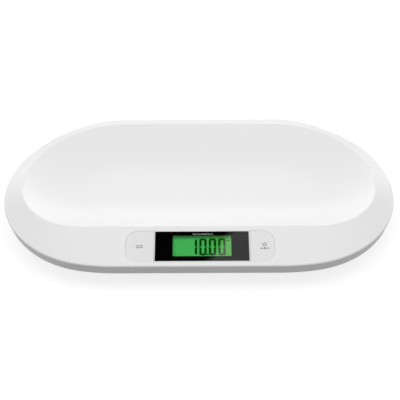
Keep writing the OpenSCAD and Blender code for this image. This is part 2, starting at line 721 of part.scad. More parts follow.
// A tube with flat ends along a list of points, its section carried on without twisting
function unit(v) = v / norm(v);
function along(p, i) = unit(i == 0 ? p[1] - p[0] : i == len(p) - 1 ? p[i] - p[i - 1]
    : unit(p[i + 1] - p[i]) + unit(p[i] - p[i - 1]));
function carried(p, u, i = 0) = let (t = along(p, i), n = unit(u - (u * t) * t))
    i == len(p) - 1 ? [n] : concat([n], carried(p, n, i + 1));
module sweep_tube(path, d, sides, start = [0, 0, 1]) {
    normals = carried(path, start);
    skin([for (i = [0 : len(path) - 1]) let (u = normals[i], v = cross(along(path, i), u))
        [for (k = [0 : sides - 1]) let (a = 360 * k / sides)
            path[i] + d / 2 * (cos(a) * u + sin(a) * v)]]);
}

// ---------------------------------------------------------------- feet and sensors

// Steel plate whose middle tongue bends, with the strain gauge under its coating
module load_cell(i) color(STEEL) at_foot(i) {
    difference() {
        box(cell_side, cell_side, cell_z, cell_top);
        difference() {
            translate([0, -1, 0]) box(cell_side - 8, cell_side - 10, cell_z - 1, cell_top + 1);
            translate([0, 3, 0]) box(cell_side - 13, cell_side - 8, cell_z - 2, cell_top + 2);
        }
    }
    translate([0, cell_side / 2 - 7, 0]) box(8, 5, cell_top, cell_top + 0.5);
}
module load_cell_front_left() load_cell(0);
module load_cell_front_right() load_cell(1);
module load_cell_rear_left() load_cell(2);
module load_cell_rear_right() load_cell(3);

// Foot cup: a disc through the base's opening, kept in by its flange, hollow under the tongue
module foot(i) color(GREY) at_foot(i) difference() {
    union() {
        rod(foot_d, pad_t - 1, flange_z + eps, 64);
        rod(2 * flange_r, flange_z, cell_z, 64);
    }
    rod(pad_d, 0, pad_t, 64);
    box(cell_side - 11, cell_side - 11, cell_z - 2, cell_z + 1);
}
module foot_front_left() foot(0);
module foot_front_right() foot(1);
module foot_rear_left() foot(2);
module foot_rear_right() foot(3);

module foot_pad(i) color(RUBBER) at_foot(i) difference() {
    rod(pad_d - 0.1, 0, pad_t, 64);
    rod(pad_d - 12, -1, 0.6, 48);
}
module foot_pad_front_left() foot_pad(0);
module foot_pad_front_right() foot_pad(1);
module foot_pad_rear_left() foot_pad(2);
module foot_pad_rear_right() foot_pad(3);

// Bridge over a sensor, with the pin that bears on the tongue
module sensor_bridge(i) color(STEEL) at_foot(i) difference() {
    union() {
        plate(bridge_span + bridge_w - 2, bridge_w, bridge_w / 2 - 0.1, bridge_z, bridge_z + bridge_t, 12);
        rod(6, presser_z, bridge_z + eps);
    }
    for (s = [-1, 1]) translate([s * bridge_span / 2, 0, 0]) rod(2.8, bridge_z - 1, bridge_z + bridge_t + 1);
}
module sensor_bridge_front_left() sensor_bridge(0);
module sensor_bridge_front_right() sensor_bridge(1);
module sensor_bridge_rear_left() sensor_bridge(2);
module sensor_bridge_rear_right() sensor_bridge(3);

module bridge_screws() color(STEEL)
    for (i = [0 : 3], s = [-1, 1]) at_foot(i) translate([s * bridge_span / 2, 0, 0]) {
        rod(5, bridge_z + bridge_t, bridge_z + bridge_t + 1.6);
        rod(2.1, bridge_z - 5, bridge_z + bridge_t + eps);
    }

module housing_screws() color(STEEL)
    for (p = screw_at) translate([p.x, p.y, 0]) difference() {
        union() {
            rod(screw_head_d, head_z, head_z + screw_head_h);
            rod(screw_d - 0.1, head_z + screw_head_h - eps, head_z + screw_head_h + screw_l);
        }
        for (turn = [0, 90]) rotate([0, 0, turn]) box(3.6, 0.9, head_z - 1, head_z + 1.2);
    }

// ---------------------------------------------------------------- leads

// Mirrors a route to the other side
function mirrored(path) = [for (p = path) [-p.x, p.y, p.z]];
down_panel = [0, sin(tilt), -cos(tilt)];
function plug_at(k) = [panel_x + lens_dx + plug_at_x[k], panel_y + plug_y * cos(tilt),
    panel_z + plug_y * sin(tilt)] + (board_deep + board_t + plug_h) * down_panel;
function plug_in(k, route) = concat(route, [plug_at(k) + 6 * down_panel, plug_at(k)]);
lead_z = base_floor_z + lead_d / 2 + 0.1;
LEAD_TURN = 40;
// Points beside a left foot's collar, on the side that faces the middle
function by_collar(side, far) = let (r = collar_r + collar_t + far)
    [-foot_x + r * cos(LEAD_TURN), side * (foot_y - r * sin(LEAD_TURN)), lead_z];
front_route = [by_collar(-1, 0), by_collar(-1, 10), [-124, -52, lead_z], [-100, -64, lead_z],
    [-74, -82, lead_z], [-60, -96, lead_z + 1.5], [-50, -108, 20]];
rear_route = [by_collar(1, 0), by_collar(1, 10), [-112, 38, lead_z], [-84, 22, lead_z],
    [-68, -10, lead_z], [-58, -50, lead_z], [-42, -86, lead_z], [-34, -104, 18]];
battery_route = [[0, bay_y - bay_w / 2 - bay_wall, 18], [0, -26, 18], [0, -36, 16], [2, -56, 13.5],
    [3, -84, 14], [4, -102, 20]];

module lead(path) color("#e9e9e4") sweep_tube(path, lead_d, 8);
module lead_front_left() lead(plug_in(0, front_route));
module lead_front_right() lead(plug_in(4, mirrored(front_route)));
module lead_rear_left() lead(plug_in(1, rear_route));
module lead_rear_right() lead(plug_in(3, mirrored(rear_route)));
module battery_lead() color("#b0302c") sweep_tube(plug_in(2, battery_route), lead_d, 8);

// ---------------------------------------------------------------- nodes

tray_shell();
base_shell();
panel_bezel();
display_lens();
lens_mask();
lens_gasket();
display_glass();
readout_figures();
display_holder();
light_guide();
contact_strips();
main_board();
board_components();
board_screws();
unit_key();
power_key();
unit_switch();
power_switch();
unit_switch_stem();
power_switch_stem();
battery_door();
battery_cells();
battery_springs();
battery_plates();
load_cell_front_left();
load_cell_front_right();
load_cell_rear_left();
load_cell_rear_right();
foot_front_left();
foot_front_right();
foot_rear_left();
foot_rear_right();
foot_pad_front_left();
foot_pad_front_right();
foot_pad_rear_left();
foot_pad_rear_right();
sensor_bridge_front_left();
sensor_bridge_front_right();
sensor_bridge_rear_left();
sensor_bridge_rear_right();
bridge_screws();
housing_screws();
lead_front_left();
lead_front_right();
lead_rear_left();
lead_rear_right();
battery_lead();
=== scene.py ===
# %% [markdown]
# This scale is a white dished tray on a grey base, with a control panel along the front. The packed
# model gives every piece its size and place, and this script gives each one its finish. Where the
# plain solid lacks the soft edges and smooth curves of a moulding, a piece is modelled here and
# takes the solid's place.
# %% Load the frame
import json
import math

import bmesh
import bpy
from mathutils import Matrix, Vector
from mathutils.bvhtree import BVHTree


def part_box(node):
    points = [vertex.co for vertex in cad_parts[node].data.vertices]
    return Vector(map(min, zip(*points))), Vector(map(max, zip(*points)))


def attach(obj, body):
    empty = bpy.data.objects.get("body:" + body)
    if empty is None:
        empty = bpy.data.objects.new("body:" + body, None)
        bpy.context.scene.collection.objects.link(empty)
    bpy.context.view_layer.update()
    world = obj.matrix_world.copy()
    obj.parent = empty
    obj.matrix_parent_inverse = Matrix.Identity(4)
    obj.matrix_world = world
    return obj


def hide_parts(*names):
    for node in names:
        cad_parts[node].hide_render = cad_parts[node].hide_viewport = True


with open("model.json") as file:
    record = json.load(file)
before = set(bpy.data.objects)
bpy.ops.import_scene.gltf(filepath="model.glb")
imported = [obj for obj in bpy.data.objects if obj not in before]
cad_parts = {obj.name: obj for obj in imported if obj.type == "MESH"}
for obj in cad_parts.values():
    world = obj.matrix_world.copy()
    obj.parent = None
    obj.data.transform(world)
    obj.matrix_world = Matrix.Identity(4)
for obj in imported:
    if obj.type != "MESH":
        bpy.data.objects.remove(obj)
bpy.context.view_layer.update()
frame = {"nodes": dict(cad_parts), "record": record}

MM = 0.001

# %% [markdown]
# The photograph looks down on the front of the scale through a long lens, so the ends hardly taper.
# A camera could be placed by eye. Here its elevation, distance and lens were worked out from the
# outline of the object, and are kept as real values: the camera looks along one direction, from a
# distance, at a point on the panel's side of the tray.
# %% The camera
CAMERA_ELEVATION = 0.707
CAMERA_YAW = -0.00194
CAMERA_ROLL = 0.005836
CAMERA_DISTANCE = 1653.15 * MM
CAMERA_TARGET = Vector((1.468, -28.82, 49.6)) * MM
CAMERA_LENS = 104.345

turn = Matrix.Rotation(-CAMERA_YAW, 3, "Z")
look = turn @ Vector((0, math.cos(CAMERA_ELEVATION), -math.sin(CAMERA_ELEVATION)))
level = turn @ Vector((1, 0, 0))
upward = level.cross(look)
side = math.cos(CAMERA_ROLL) * level - math.sin(CAMERA_ROLL) * upward
top = math.sin(CAMERA_ROLL) * level + math.cos(CAMERA_ROLL) * upward
camera_data = bpy.data.cameras.new("camera")
camera_data.lens = CAMERA_LENS
camera_data.sensor_width = 36.0
camera_data.sensor_fit = "HORIZONTAL"
camera = bpy.data.objects.new("camera", camera_data)
bpy.context.scene.collection.objects.link(camera)
camera.matrix_world = (Matrix.Translation(CAMERA_TARGET - CAMERA_DISTANCE * look)
                       @ Matrix((side, top, -look)).transposed().to_4x4())
bpy.context.scene.camera = camera
print("camera at", [round(c, 3) for c in camera.location], "m")

# %% [markdown]
# The control panel is not level: it lies on the sloping rim. Everything on it is easier to model in
# the panel's own axes, X along it, Y up the slope and Z out of its face, and to turn into place at
# the end. The keys slide along the panel's depth, so the joint's axis gives the slope, and the lens
# gives the height of the face.
# %% The panel's axes
KEY_AXIS = Vector(next(j for j in frame["record"]["behaviour"]["joints"]
                       if j["name"] == "unit_key_press")["axis"])
SLOPE = math.atan2(KEY_AXIS.y, -KEY_AXIS.z)
UNSLOPE = Matrix.Rotation(-SLOPE, 3, "X")


def sloped_box(*nodes):
    """Lowest and highest corner of some nodes, in mm along the sloped axes."""
    spots = [UNSLOPE @ vert.co / MM
             for node in nodes for vert in frame["nodes"][node].data.vertices]
    return (Vector([min(s[i] for s in spots) for i in range(3)]),
            Vector([max(s[i] for s in spots) for i in range(3)]))


key_low, key_high = sloped_box("unit_key", "power_key")
PANEL_CENTRE = Vector(((key_low.x + key_high.x) / 2, (key_low.y + key_high.y) / 2,
                       sloped_box("display_lens")[1].z))
PANEL = Matrix.Rotation(SLOPE, 4, "X") @ Matrix.Translation(PANEL_CENTRE)


def on_panel(*nodes):
    """Lowest and highest corner of some nodes, in mm from the panel's centre."""
    low, high = sloped_box(*nodes)
    return low - PANEL_CENTRE, high - PANEL_CENTRE


print("panel slopes", round(math.degrees(SLOPE), 2), "degrees; lens", on_panel("display_lens"))

# %% [markdown]
# A moulding is a skin drawn over a row of closed outlines, like a ship's hull over its frames. One
# helper lays a circle of edges on the first outline and extrudes it from outline to outline, so
# each shape below is only the rule for its outlines. An extruded edge loop keeps its order, which
# is why this is safer than joining faces by hand.
# %% Skin over outlines
def loft(rings, place=Matrix.Identity(4), to_start=False):
    """A skin through closed rings of points, capped at both ends or joined to the start."""
    bm = bmesh.new()
    loop = bmesh.ops.create_circle(bm, cap_ends=False, segments=len(rings[0]), radius=1.0)["verts"]
    first_edges = edges = list(bm.edges)
    for vert, spot in zip(loop, rings[0]):
        vert.co = spot
    for ring in list(rings[1:]) + ([rings[0]] if to_start else []):
        order = {vert: k for k, vert in enumerate(loop)}
        made = bmesh.ops.extrude_edge_only(bm, edges=edges)["geom"]
        fresh = [part for part in made if isinstance(part, bmesh.types.BMVert)]
        loop = [None] * len(fresh)
        for vert in fresh:
            old = next(e.other_vert(vert) for e in vert.link_edges if e.other_vert(vert) in order)
            loop[order[old]] = vert
        for vert, spot in zip(loop, ring):
            vert.co = spot
        ends = set(loop)
        edges = [part for part in made if isinstance(part, bmesh.types.BMEdge)
                 and ends.issuperset(part.verts)]
    if to_start:
        bmesh.ops.remove_doubles(bm, verts=bm.verts, dist=1e-4)
    else:
        bmesh.ops.contextual_create(bm, geom=first_edges)
        bmesh.ops.contextual_create(bm, geom=edges)
    bmesh.ops.transform(bm, matrix=place, verts=bm.verts)
    bmesh.ops.recalc_face_normals(bm, faces=bm.faces)
    return bm


def smooth(mesh, sharp_degrees):
    """Shades a mesh smooth, except at edges over an angle."""
    mesh.shade_smooth()
    mesh.set_sharp_from_angle(angle=math.radians(sharp_degrees))


def piece_from(bm, name, sharp_degrees=30.0):
    """Turns a finished bmesh into a smooth object at the origin."""
    mesh = bpy.data.meshes.new(name)
    bm.to_mesh(mesh)
    bm.free()
    obj = bpy.data.objects.new(name, mesh)
    bpy.context.scene.collection.objects.link(obj)
    smooth(mesh, sharp_degrees)
    return obj


def placed(bm, name, place=PANEL):
    """Turns what was drawn on the panel into place, as a piece."""
    bmesh.ops.transform(bm, matrix=place, verts=bm.verts)
    return piece_from(bm, name)


def ease_top(bm, top, size, segments):
    """Rounds the edges that lie at the top of a bmesh."""
    rim = [e for e in bm.edges if all(v.co.z > top - 0.01 for v in e.verts)]
    bmesh.ops.bevel(bm, geom=rim, offset=size, offset_type="OFFSET", affect="EDGES",
                    segments=segments, profile=0.5, material=-1)


RIGHT, UP = Vector((1, 0, 0)), Vector((0, 1, 0))


def slice_at(bm, along, distance):
    """Adds edges to a bmesh where a plane across a direction meets it."""
    bmesh.ops.bisect_plane(bm, geom=bm.verts[:] + bm.edges[:] + bm.faces[:],
                           plane_co=along * distance, plane_no=along)


def round_rect(width, height, radius, z, steps=12):
    """Closed outline of a rectangle with round corners, anticlockwise from the right."""
    ring = []
    for quarter, (sx, sy) in enumerate([(1, 1), (-1, 1), (-1, -1), (1, -1)]):
        for k in range(steps + 1):
            a = math.radians(90 * (quarter + k / steps))
            ring.append(Vector((sx * (width / 2 - radius) + radius * math.cos(a),
                                sy * (height / 2 - radius) + radius * math.sin(a), z)))
    return ring


print("helpers ready: loft, piece_from, placed, ease_top, slice_at, round_rect")

# %% [markdown]
# Some shapes are easiest to get by cutting, as a milling cutter would: the recess in the rim, the
# finger dishes, the screw bores. The Boolean modifier does it on whole solids. It is applied here
# at once, so that what follows works on the real mesh and no cutter stays in the scene.
# %% Cutting and joining solids
def combine(obj, bm, operation):
    """Joins a bmesh to obj, or cuts it away, and frees the bmesh."""
    tool = piece_from(bm, "tool")
    cut = obj.modifiers.new("cut", "BOOLEAN")
    cut.operation = operation
    cut.object = tool
    cut.solver = "EXACT"
    depsgraph = bpy.context.evaluated_depsgraph_get()
    solid = bpy.data.meshes.new_from_object(obj.evaluated_get(depsgraph))
    obj.modifiers.clear()
    old = obj.data
    obj.data = solid
    solid.name = obj.name
    bpy.data.meshes.remove(old)
    bpy.data.objects.remove(tool)


def standing(x, y, z0, z1, turn):
    """The place of a solid that stands from z0 to z1, turned by some degrees."""
    return Matrix.Translation((x, y, (z0 + z1) / 2)) @ Matrix.Rotation(math.radians(turn), 4, "Z")


def rod(bm, x, y, z0, z1, diameter, segments=48, turn=0.0):
    """Adds a round bar to a bmesh, or a prism with few sides."""
    bmesh.ops.create_cone(bm, cap_ends=True, segments=segments, radius1=diameter / 2,
                          radius2=diameter / 2, depth=z1 - z0, matrix=standing(x, y, z0, z1, turn))


def block(bm, x, y, z0, z1, width, height, turn=0.0):
    """Adds a rectangular block to a bmesh."""
    size = Matrix.Diagonal((width, height, z1 - z0, 1))
    bmesh.ops.create_cube(bm, size=1.0, matrix=standing(x, y, z0, z1, turn) @ size)


def groups(bm):
    """The vertices of each separate solid of a bmesh."""
    left, found = set(bm.verts), []
    while left:
        group, front = set(), [left.pop()]
        while front:
            vert = front.pop()
            group.add(vert)
            near = {e.other_vert(vert) for e in vert.link_edges} & left
            left -= near
            front.extend(near)
        found.append(group)
    return found


def middle_of(spots):
    """Middle of the box round some points."""
    return Vector([(min(s[i] for s in spots) + max(s[i] for s in spots)) / 2 for i in range(3)])


def islands(node, turned=Matrix.Identity(3)):
    """Centre of each separate solid of a CAD node, in mm."""
    bm = bmesh.new()
    bm.from_mesh(frame["nodes"][node].data)
    bmesh.ops.remove_doubles(bm, verts=bm.verts, dist=1e-6)
    centres = [middle_of([turned @ vert.co / MM for vert in group]) for group in groups(bm)]
    bm.free()
    return centres


print("screws that hold the housing:", len(islands("housing_screws")))

# %% [markdown]
# The tray is one injection moulding of white ABS: a flat edge, a rim that slopes up to a crest, and
# a bowl that sinks to a flat floor. Two outlines rule it. The edge is a stadium, a straight with a
# half circle at each end, which is a little fuller at the front corners and leaner at the back
# ones. The crest is a rounder oval, with large arcs at the back and smaller ones at the front,
# because the control panel takes its room there. One function of quarter turns draws them all.
# Another moves what lies near the edge to its fuller or leaner place, and never past the packed
# model's box.
# %% The tray's outlines
QUARTER_STEPS = 48
HALF_LENGTH, HALF_WIDTH, CREST_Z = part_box("tray_shell")[1] / MM
CREST_RISE = 12.0
RIM_Z = CREST_Z - CREST_RISE
LIP = 3.0
EDGE_EASE = 2.4
EDGE_FLATTER = 0.8
RIM_SIDE = 25.5
RIM_BACK = 28.0
RIM_FRONT = 66.0
FRONT_ARC = 88.0
CREST_Y = RIM_FRONT + FRONT_ARC - HALF_WIDTH
BACK_ARC = HALF_WIDTH - RIM_BACK - CREST_Y
BACK_HALF = HALF_LENGTH - RIM_SIDE - BACK_ARC
FRONT_HALF = HALF_LENGTH - RIM_SIDE - FRONT_ARC


def outline(arcs, inset):
    """Four quarter turns, each with its own centre and radius, drawn in by an inset."""
    line = []
    for number, (x, y, radius) in enumerate(arcs):
        for k in range(QUARTER_STEPS + 1 - number % 2):
            a = math.radians(90 * (number + k / QUARTER_STEPS))
            line.append((x + (radius - inset) * math.cos(a), y + (radius - inset) * math.sin(a)))
    return line


END_X = HALF_LENGTH - HALF_WIDTH
FULLER = 6.0
STAYS_WITHIN = 114.5
MOVES_BEYOND = 157.8
EDGE_ARCS = [(x, 0, HALF_WIDTH) for x in (END_X, -END_X, -END_X, END_X)]
CREST_ARCS = [(BACK_HALF, CREST_Y, BACK_ARC), (-BACK_HALF, CREST_Y, BACK_ARC),
              (-FRONT_HALF, CREST_Y, FRONT_ARC), (FRONT_HALF, CREST_Y, FRONT_ARC)]


def reshaped(x, y):
    """A place near the edge, moved out at the front corners and in at the back ones."""
    out = abs(x) - END_X
    if out <= 0:
        return x, y
    r = math.hypot(out, y)
    c, s = out / r, y / r
    share = min(max((r - STAYS_WITHIN) / (MOVES_BEYOND - STAYS_WITHIN), 0), 1)
    moved = r - FULLER * share * 2 * s * c * (1 - abs(s) ** 24)
    moved = min(moved, r / max(c, abs(s)))
    return math.copysign(END_X + moved * c, x), moved * s


def edge_line(inset):
    """The stadium with its fuller and leaner corners, drawn in by an inset."""
    return [reshaped(x, y) for x, y in outline(EDGE_ARCS, inset)]


def at_height(line, z):
    return [Vector((x, y, z)) for x, y in line]


print("each outline of the tray has", len(edge_line(0)), "points")

# %% [markdown]
# The bowl's section is a rounded crest and then a parabola, steep at the crest and level where it
# meets the floor, so that a baby lies without an edge under it. The rim is a straight slope that
# eases over into the crest. The skin runs from the bowl's floor up over the crest, down the rim,
# round the eased edge and back along the underside, 2.8 mm away, with the locating rib that stands
# inside the base.
# %% The tray's skin
WALL = 2.8
CREST_RADIUS = 5.0
BOWL_DEPTH = 26.0
BOWL_REACH = 84.0
RIB_FROM_EDGE = 4.5
RIB_THICK = 2.0
RIB_HEIGHT = 3.5
RIM_STRAIGHT = 0.95
RIM_STRAIGHT_RISE = 0.965
CREST_STEPS = 8
BOWL_STEPS = 28

BOWL_SLOPE = math.atan(2 * BOWL_DEPTH / BOWL_REACH)
BOWL_START = CREST_RADIUS * math.sin(BOWL_SLOPE)
BOWL_START_DROP = CREST_RADIUS * (1 - math.cos(BOWL_SLOPE))


def bowl_section():
    """Distance in from the crest, drop below it, and slope, from the crest to the floor."""
    section = []
    for k in range(CREST_STEPS):
        a = BOWL_SLOPE * k / CREST_STEPS
        section.append((CREST_RADIUS * math.sin(a), CREST_RADIUS * (1 - math.cos(a)), a))
    for k in range(BOWL_STEPS + 1):
        t = k / BOWL_STEPS
        section.append((BOWL_START + (BOWL_REACH - BOWL_START) * t,
                        BOWL_START_DROP + (BOWL_DEPTH - BOWL_START_DROP) * (1 - (1 - t) ** 2),
                        BOWL_SLOPE * (1 - t)))
    return section


def bowl_ring(place, thick):
    """An outline in the bowl, on its face or a thickness below it."""
    inward, drop, slope = place
    return at_height(outline(CREST_ARCS, inward - thick * math.sin(slope)),
                     CREST_Z - drop - thick * math.cos(slope))


def rim_height(t):
    """Height over the rim's edge at a share t of its width: straight, then easing over."""
    if t <= RIM_STRAIGHT:
        return CREST_RISE * RIM_STRAIGHT_RISE * t / RIM_STRAIGHT
    u = (t - RIM_STRAIGHT) / (1 - RIM_STRAIGHT)
    slope = RIM_STRAIGHT_RISE / RIM_STRAIGHT * (1 - RIM_STRAIGHT)
    share = ((2 * u ** 3 - 3 * u ** 2 + 1) * RIM_STRAIGHT_RISE
             + (u ** 3 - 2 * u ** 2 + u) * slope + 3 * u ** 2 - 2 * u ** 3)
    return CREST_RISE * share


def rim_ring(t, thick=0.0):
    """An outline on the rim, at a share t of the way from its edge to the crest."""
    ends = zip(edge_line(EDGE_EASE), outline(CREST_ARCS, 0))
    return [Vector((x0 + (x1 - x0) * t, y0 + (y1 - y0) * t, RIM_Z + rim_height(t) - thick))
            for (x0, y0), (x1, y1) in ends]


edge_turns = [math.radians(a) for a in range(0, 91, 9)]
outside = [bowl_ring(place, 0) for place in reversed(bowl_section())]
outside += [rim_ring(t) for t in (0.99, 0.98, 0.97, 0.96, 0.95, 0.9, 0.7, 0.5, 0.3, 0.1, 0.02)]
outside += [at_height(edge_line(EDGE_EASE * (1 - math.sin(a))),
                      RIM_Z - EDGE_EASE * (1 - math.cos(a)) * EDGE_FLATTER) for a in edge_turns]
SEAM_Z = RIM_Z - LIP
RIB_Z = SEAM_Z - RIB_HEIGHT
RIB_INNER = RIB_FROM_EDGE + RIB_THICK
underneath = [at_height(edge_line(inset), z) for inset, z in
              ((0, SEAM_Z), (RIB_FROM_EDGE, SEAM_Z), (RIB_FROM_EDGE, RIB_Z), (RIB_INNER, RIB_Z),
               (RIB_INNER, SEAM_Z))]
underneath += [rim_ring(t, WALL) for t in (0.3, 0.5, 0.7, 0.9, RIM_STRAIGHT)]
underneath += [bowl_ring(place, WALL) for place in bowl_section()[::2]]
tray = piece_from(loft(outside + underneath), "tray_moulding")
print("tray skin:", len(tray.data.polygons), "faces")

# %% [markdown]
# Under the rim hangs a shallow pan that carries the keys and the display, and eight bosses take the
# screws from the base. They could be lofted with the skin, but a real mould cuts them as separate
# hollows, and so does this: solid pan and bars are joined to the skin, then the recess and the
# bores are cut out of both. The recess has a rounded mouth, because a sharp edge would not leave a
# mould.
# %% Pan, bosses and recess
PANEL_GAP = 0.2
PANEL_DEEP = 4.0
PAN_FLOOR = 2.5
PAN_WALL = 2.0
PAN_CORNER = 18.0
MOUTH = 0.25
BOSS = 8.0
BOSS_FOOT_Z = SEAM_Z - 10.0
BOSS_INTO_WALL = 0.7
SCREW_BORE = 3.0
SCREW_BORE_DEEP = 10.0
POST = 6.0
POST_BORE = 2.1
PAN_TOP = -1.2

PANEL_W = key_high.x - key_low.x + 2 * PANEL_GAP
PANEL_H = key_high.y - key_low.y + 2 * PANEL_GAP


def pill(grow, z):
    """The recess's outline, grown by some millimetres."""
    return round_rect(PANEL_W + 2 * grow, PANEL_H + 2 * grow, PAN_CORNER + grow, z)


pan = loft([pill(PAN_WALL, z) for z in (-PANEL_DEEP - PAN_FLOOR, PAN_TOP)], PANEL)
combine(tray, pan, "UNION")

screw_spots = [Vector((*reshaped(spot.x, spot.y), spot.z)) for spot in islands("housing_screws")]
skin_tree = BVHTree.FromObject(tray, bpy.context.evaluated_depsgraph_get())
boss_spots = [(dx, dy) for dx in (-BOSS / 2, 0, BOSS / 2) for dy in (-BOSS / 2, 0, BOSS / 2)]
added = bmesh.new()
for spot in screw_spots:
    feet = [Vector((spot.x + dx, spot.y + dy, BOSS_FOOT_Z)) for dx, dy in boss_spots]
    roof = min(skin_tree.ray_cast(foot, Vector((0, 0, 1)))[0].z for foot in feet)
    rod(added, spot.x, spot.y, BOSS_FOOT_Z, roof + BOSS_INTO_WALL * WALL, BOSS)
combine(tray, added, "UNION")

board_top = on_panel("main_board")[1].z
board_spots = [(spot.x - PANEL_CENTRE.x, spot.y - PANEL_CENTRE.y)
               for spot in islands("board_screws", UNSLOPE)]
posts = bmesh.new()
for x, y in board_spots:
    rod(posts, x, y, board_top, -PANEL_DEEP - 0.1, POST)
bmesh.ops.transform(posts, matrix=PANEL, verts=posts.verts)
combine(tray, posts, "UNION")
print("bosses under the rim:", len(screw_spots), "and posts for the board:", len(board_spots))

# %% [markdown]
# Now the cuts. The recess is a pill with a mouth that flares out in a small arc. Its floor is open
# where the display hangs through and where the keys' plungers and guide pins pass, and each boss
# and post has its screw bore.
# %% Cuts in the tray
PLUNGER, GUIDE_PIN, PIN_PLAY = 5.0, 3.0, 0.8
GUIDE_Y = 15.0
PINS = ((0, PLUNGER), (GUIDE_Y, GUIDE_PIN), (-GUIDE_Y, GUIDE_PIN))
KEY_X = [middle_of(on_panel(stem)).x for stem in ("unit_switch_stem", "power_switch_stem")]
holder_low, holder_high = on_panel("display_holder")
HOLDER_W, HOLDER_H = (holder_high - holder_low).xy
lens_low, lens_high = on_panel("display_lens")
LENS_X = (lens_low.x + lens_high.x) / 2
mouth_turns = [math.radians(a) for a in range(0, 91, 15)]
recess = [pill(0, -PANEL_DEEP)]
recess += [pill(MOUTH * (1 - math.cos(a)), MOUTH * (math.sin(a) - 1)) for a in mouth_turns]
recess += [pill(MOUTH, 3.0)]
combine(tray, loft(recess, PANEL), "DIFFERENCE")

cuts = bmesh.new()
through_pan = -PANEL_DEEP - PAN_FLOOR - 1, -PANEL_DEEP + 1
block(cuts, LENS_X, 0, *through_pan, HOLDER_W + 2 * PANEL_GAP, HOLDER_H + 2 * PANEL_GAP)
for x in KEY_X:
    for y, diameter in PINS:
        rod(cuts, x, y, *through_pan, diameter + PIN_PLAY)
for x, y in board_spots:
    rod(cuts, x, y, board_top - 1, -PANEL_DEEP - 2, POST_BORE, 24)
bmesh.ops.transform(cuts, matrix=PANEL, verts=cuts.verts)
for spot in screw_spots:
    rod(cuts, spot.x, spot.y, BOSS_FOOT_Z - 1, BOSS_FOOT_Z + SCREW_BORE_DEEP, SCREW_BORE, 24)
combine(tray, cuts, "DIFFERENCE")
print("tray with recess, pan and bosses:", len(tray.data.polygons), "faces")

# %% [markdown]
# The mould is textured twice: a soft silk in the bowl, and a fine satin on the rim outside the
# crest. The rim's white is also painted a shade greyer than the bowl's, as painted shade: it stands
# in for the dimmer light on the rim. The change follows the crest, and a distance to the crest is
# easy to work out here but clumsy in a material, so it is kept on the mesh: 0 in the bowl, 1 on the
# rim.
# %% Where the satin rim and its painted shade start
def past_crest(x, y):
    """Distance in mm outside the crest line, negative in the bowl."""
    half, radius = (BACK_HALF, BACK_ARC) if y > CREST_Y else (FRONT_HALF, FRONT_ARC)
    return math.hypot(max(abs(x) - half, 0), y - CREST_Y) - radius


# Width of the blend at the crest, for the satin and for the rim's painted shade
SATIN_AND_SHADE_BLEND = 1.2
satin = tray.data.attributes.new("satin", "FLOAT", "POINT")
for vert in tray.data.vertices:
    share = 0.5 + past_crest(vert.co.x, vert.co.y) / (2 * SATIN_AND_SHADE_BLEND)
    satin.data[vert.index].value = min(max(share, 0.0), 1.0)
print("points on the satin rim:", sum(1 for value in satin.data if value.value > 0.5))
smooth(tray.data, 28)

# %% [markdown]
# The base has to meet the tray all round, so it follows the same outline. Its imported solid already
# has every wall, post and opening, and modelling it again would only bring mistakes. A copy of it
# is merged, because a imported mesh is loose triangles, and each point near the edge is moved by the
# same rule as the tray's. The screws are moved whole, so that they stay round and in their bores.
# %% Base and screws under the new outline
def merged_copy(node):
    """A CAD node's mesh in mm, with its triangles joined."""
    bm = bmesh.new()
    bm.from_mesh(frame["nodes"][node].data)
    bmesh.ops.scale(bm, vec=(1 / MM, 1 / MM, 1 / MM), verts=bm.verts)
    bmesh.ops.remove_doubles(bm, verts=bm.verts, dist=1e-3)
    return bm


base_bm = merged_copy("base_shell")
for vert in base_bm.verts:
    vert.co.xy = reshaped(vert.co.x, vert.co.y)
base = piece_from(base_bm, "base_moulding", 25)

screws_bm = merged_copy("housing_screws")
for group in groups(screws_bm):
    middle = middle_of([vert.co for vert in group])
    shift = Vector((*reshaped(middle.x, middle.y), middle.z)) - middle
    bmesh.ops.translate(screws_bm, verts=list(group), vec=shift)
screws = piece_from(screws_bm, "screws_of_housing")
print("base:", len(base.data.polygons), "faces; screws:", len(screw_spots))

# %% [markdown]
# The bezel is a white frame round the lens, with a lip that stands a little over the rim and a
# ledge inside that carries the lens. A frame is one section carried round four corners, so the
# section is laid at each corner, stretched out to the mitre, and the skin runs round and joins its
# start.
# %% Bezel
bezel_low, bezel_high = on_panel("panel_bezel")
LENS_W, LENS_H = (lens_high - lens_low).xy
BEZEL_W, BEZEL_H = (bezel_high - bezel_low).xy
LENS_GAP = 0.2
LEDGE = 2.4
LEDGE_Z = on_panel("lens_gasket")[0].z
LIP_ROUND = 0.3


def frame_section(outer, lip, ledge, low, step, high):
    """A frame's section: distances from the middle line and heights, with a rounded lip."""
    r = LIP_ROUND
    arcs = [(r * (1 - math.cos(a)), r * (math.sin(a) - 1)) for a in mouth_turns]
    return ([(outer, low)] + [(outer - dx, high + dz) for dx, dz in arcs]
            + [(lip + dx, high + dz) for dx, dz in reversed(arcs)]
            + [(lip, step), (ledge, step), (ledge, low)])


def carried_round(section_x, section_y):
    """A section laid at the four mitred corners, from its distances along X and along Y."""
    return [[Vector((sx * x, sy * y, z)) for (x, z), (y, _) in zip(section_x, section_y)]
            for sx, sy in ((1, 1), (-1, 1), (-1, -1), (1, -1))]


rings = carried_round(*(frame_section(outer / 2, lens / 2 + LENS_GAP, lens / 2 - LEDGE,
                                      bezel_low.z, LEDGE_Z, bezel_high.z)
                        for outer, lens in ((BEZEL_W, LENS_W), (BEZEL_H, LENS_H))))
LENS_PLACE = PANEL @ Matrix.Translation((LENS_X, 0, 0))
bezel = piece_from(loft(rings, LENS_PLACE, to_start=True), "bezel_frame")
print("bezel frame:", len(bezel.data.polygons), "faces")

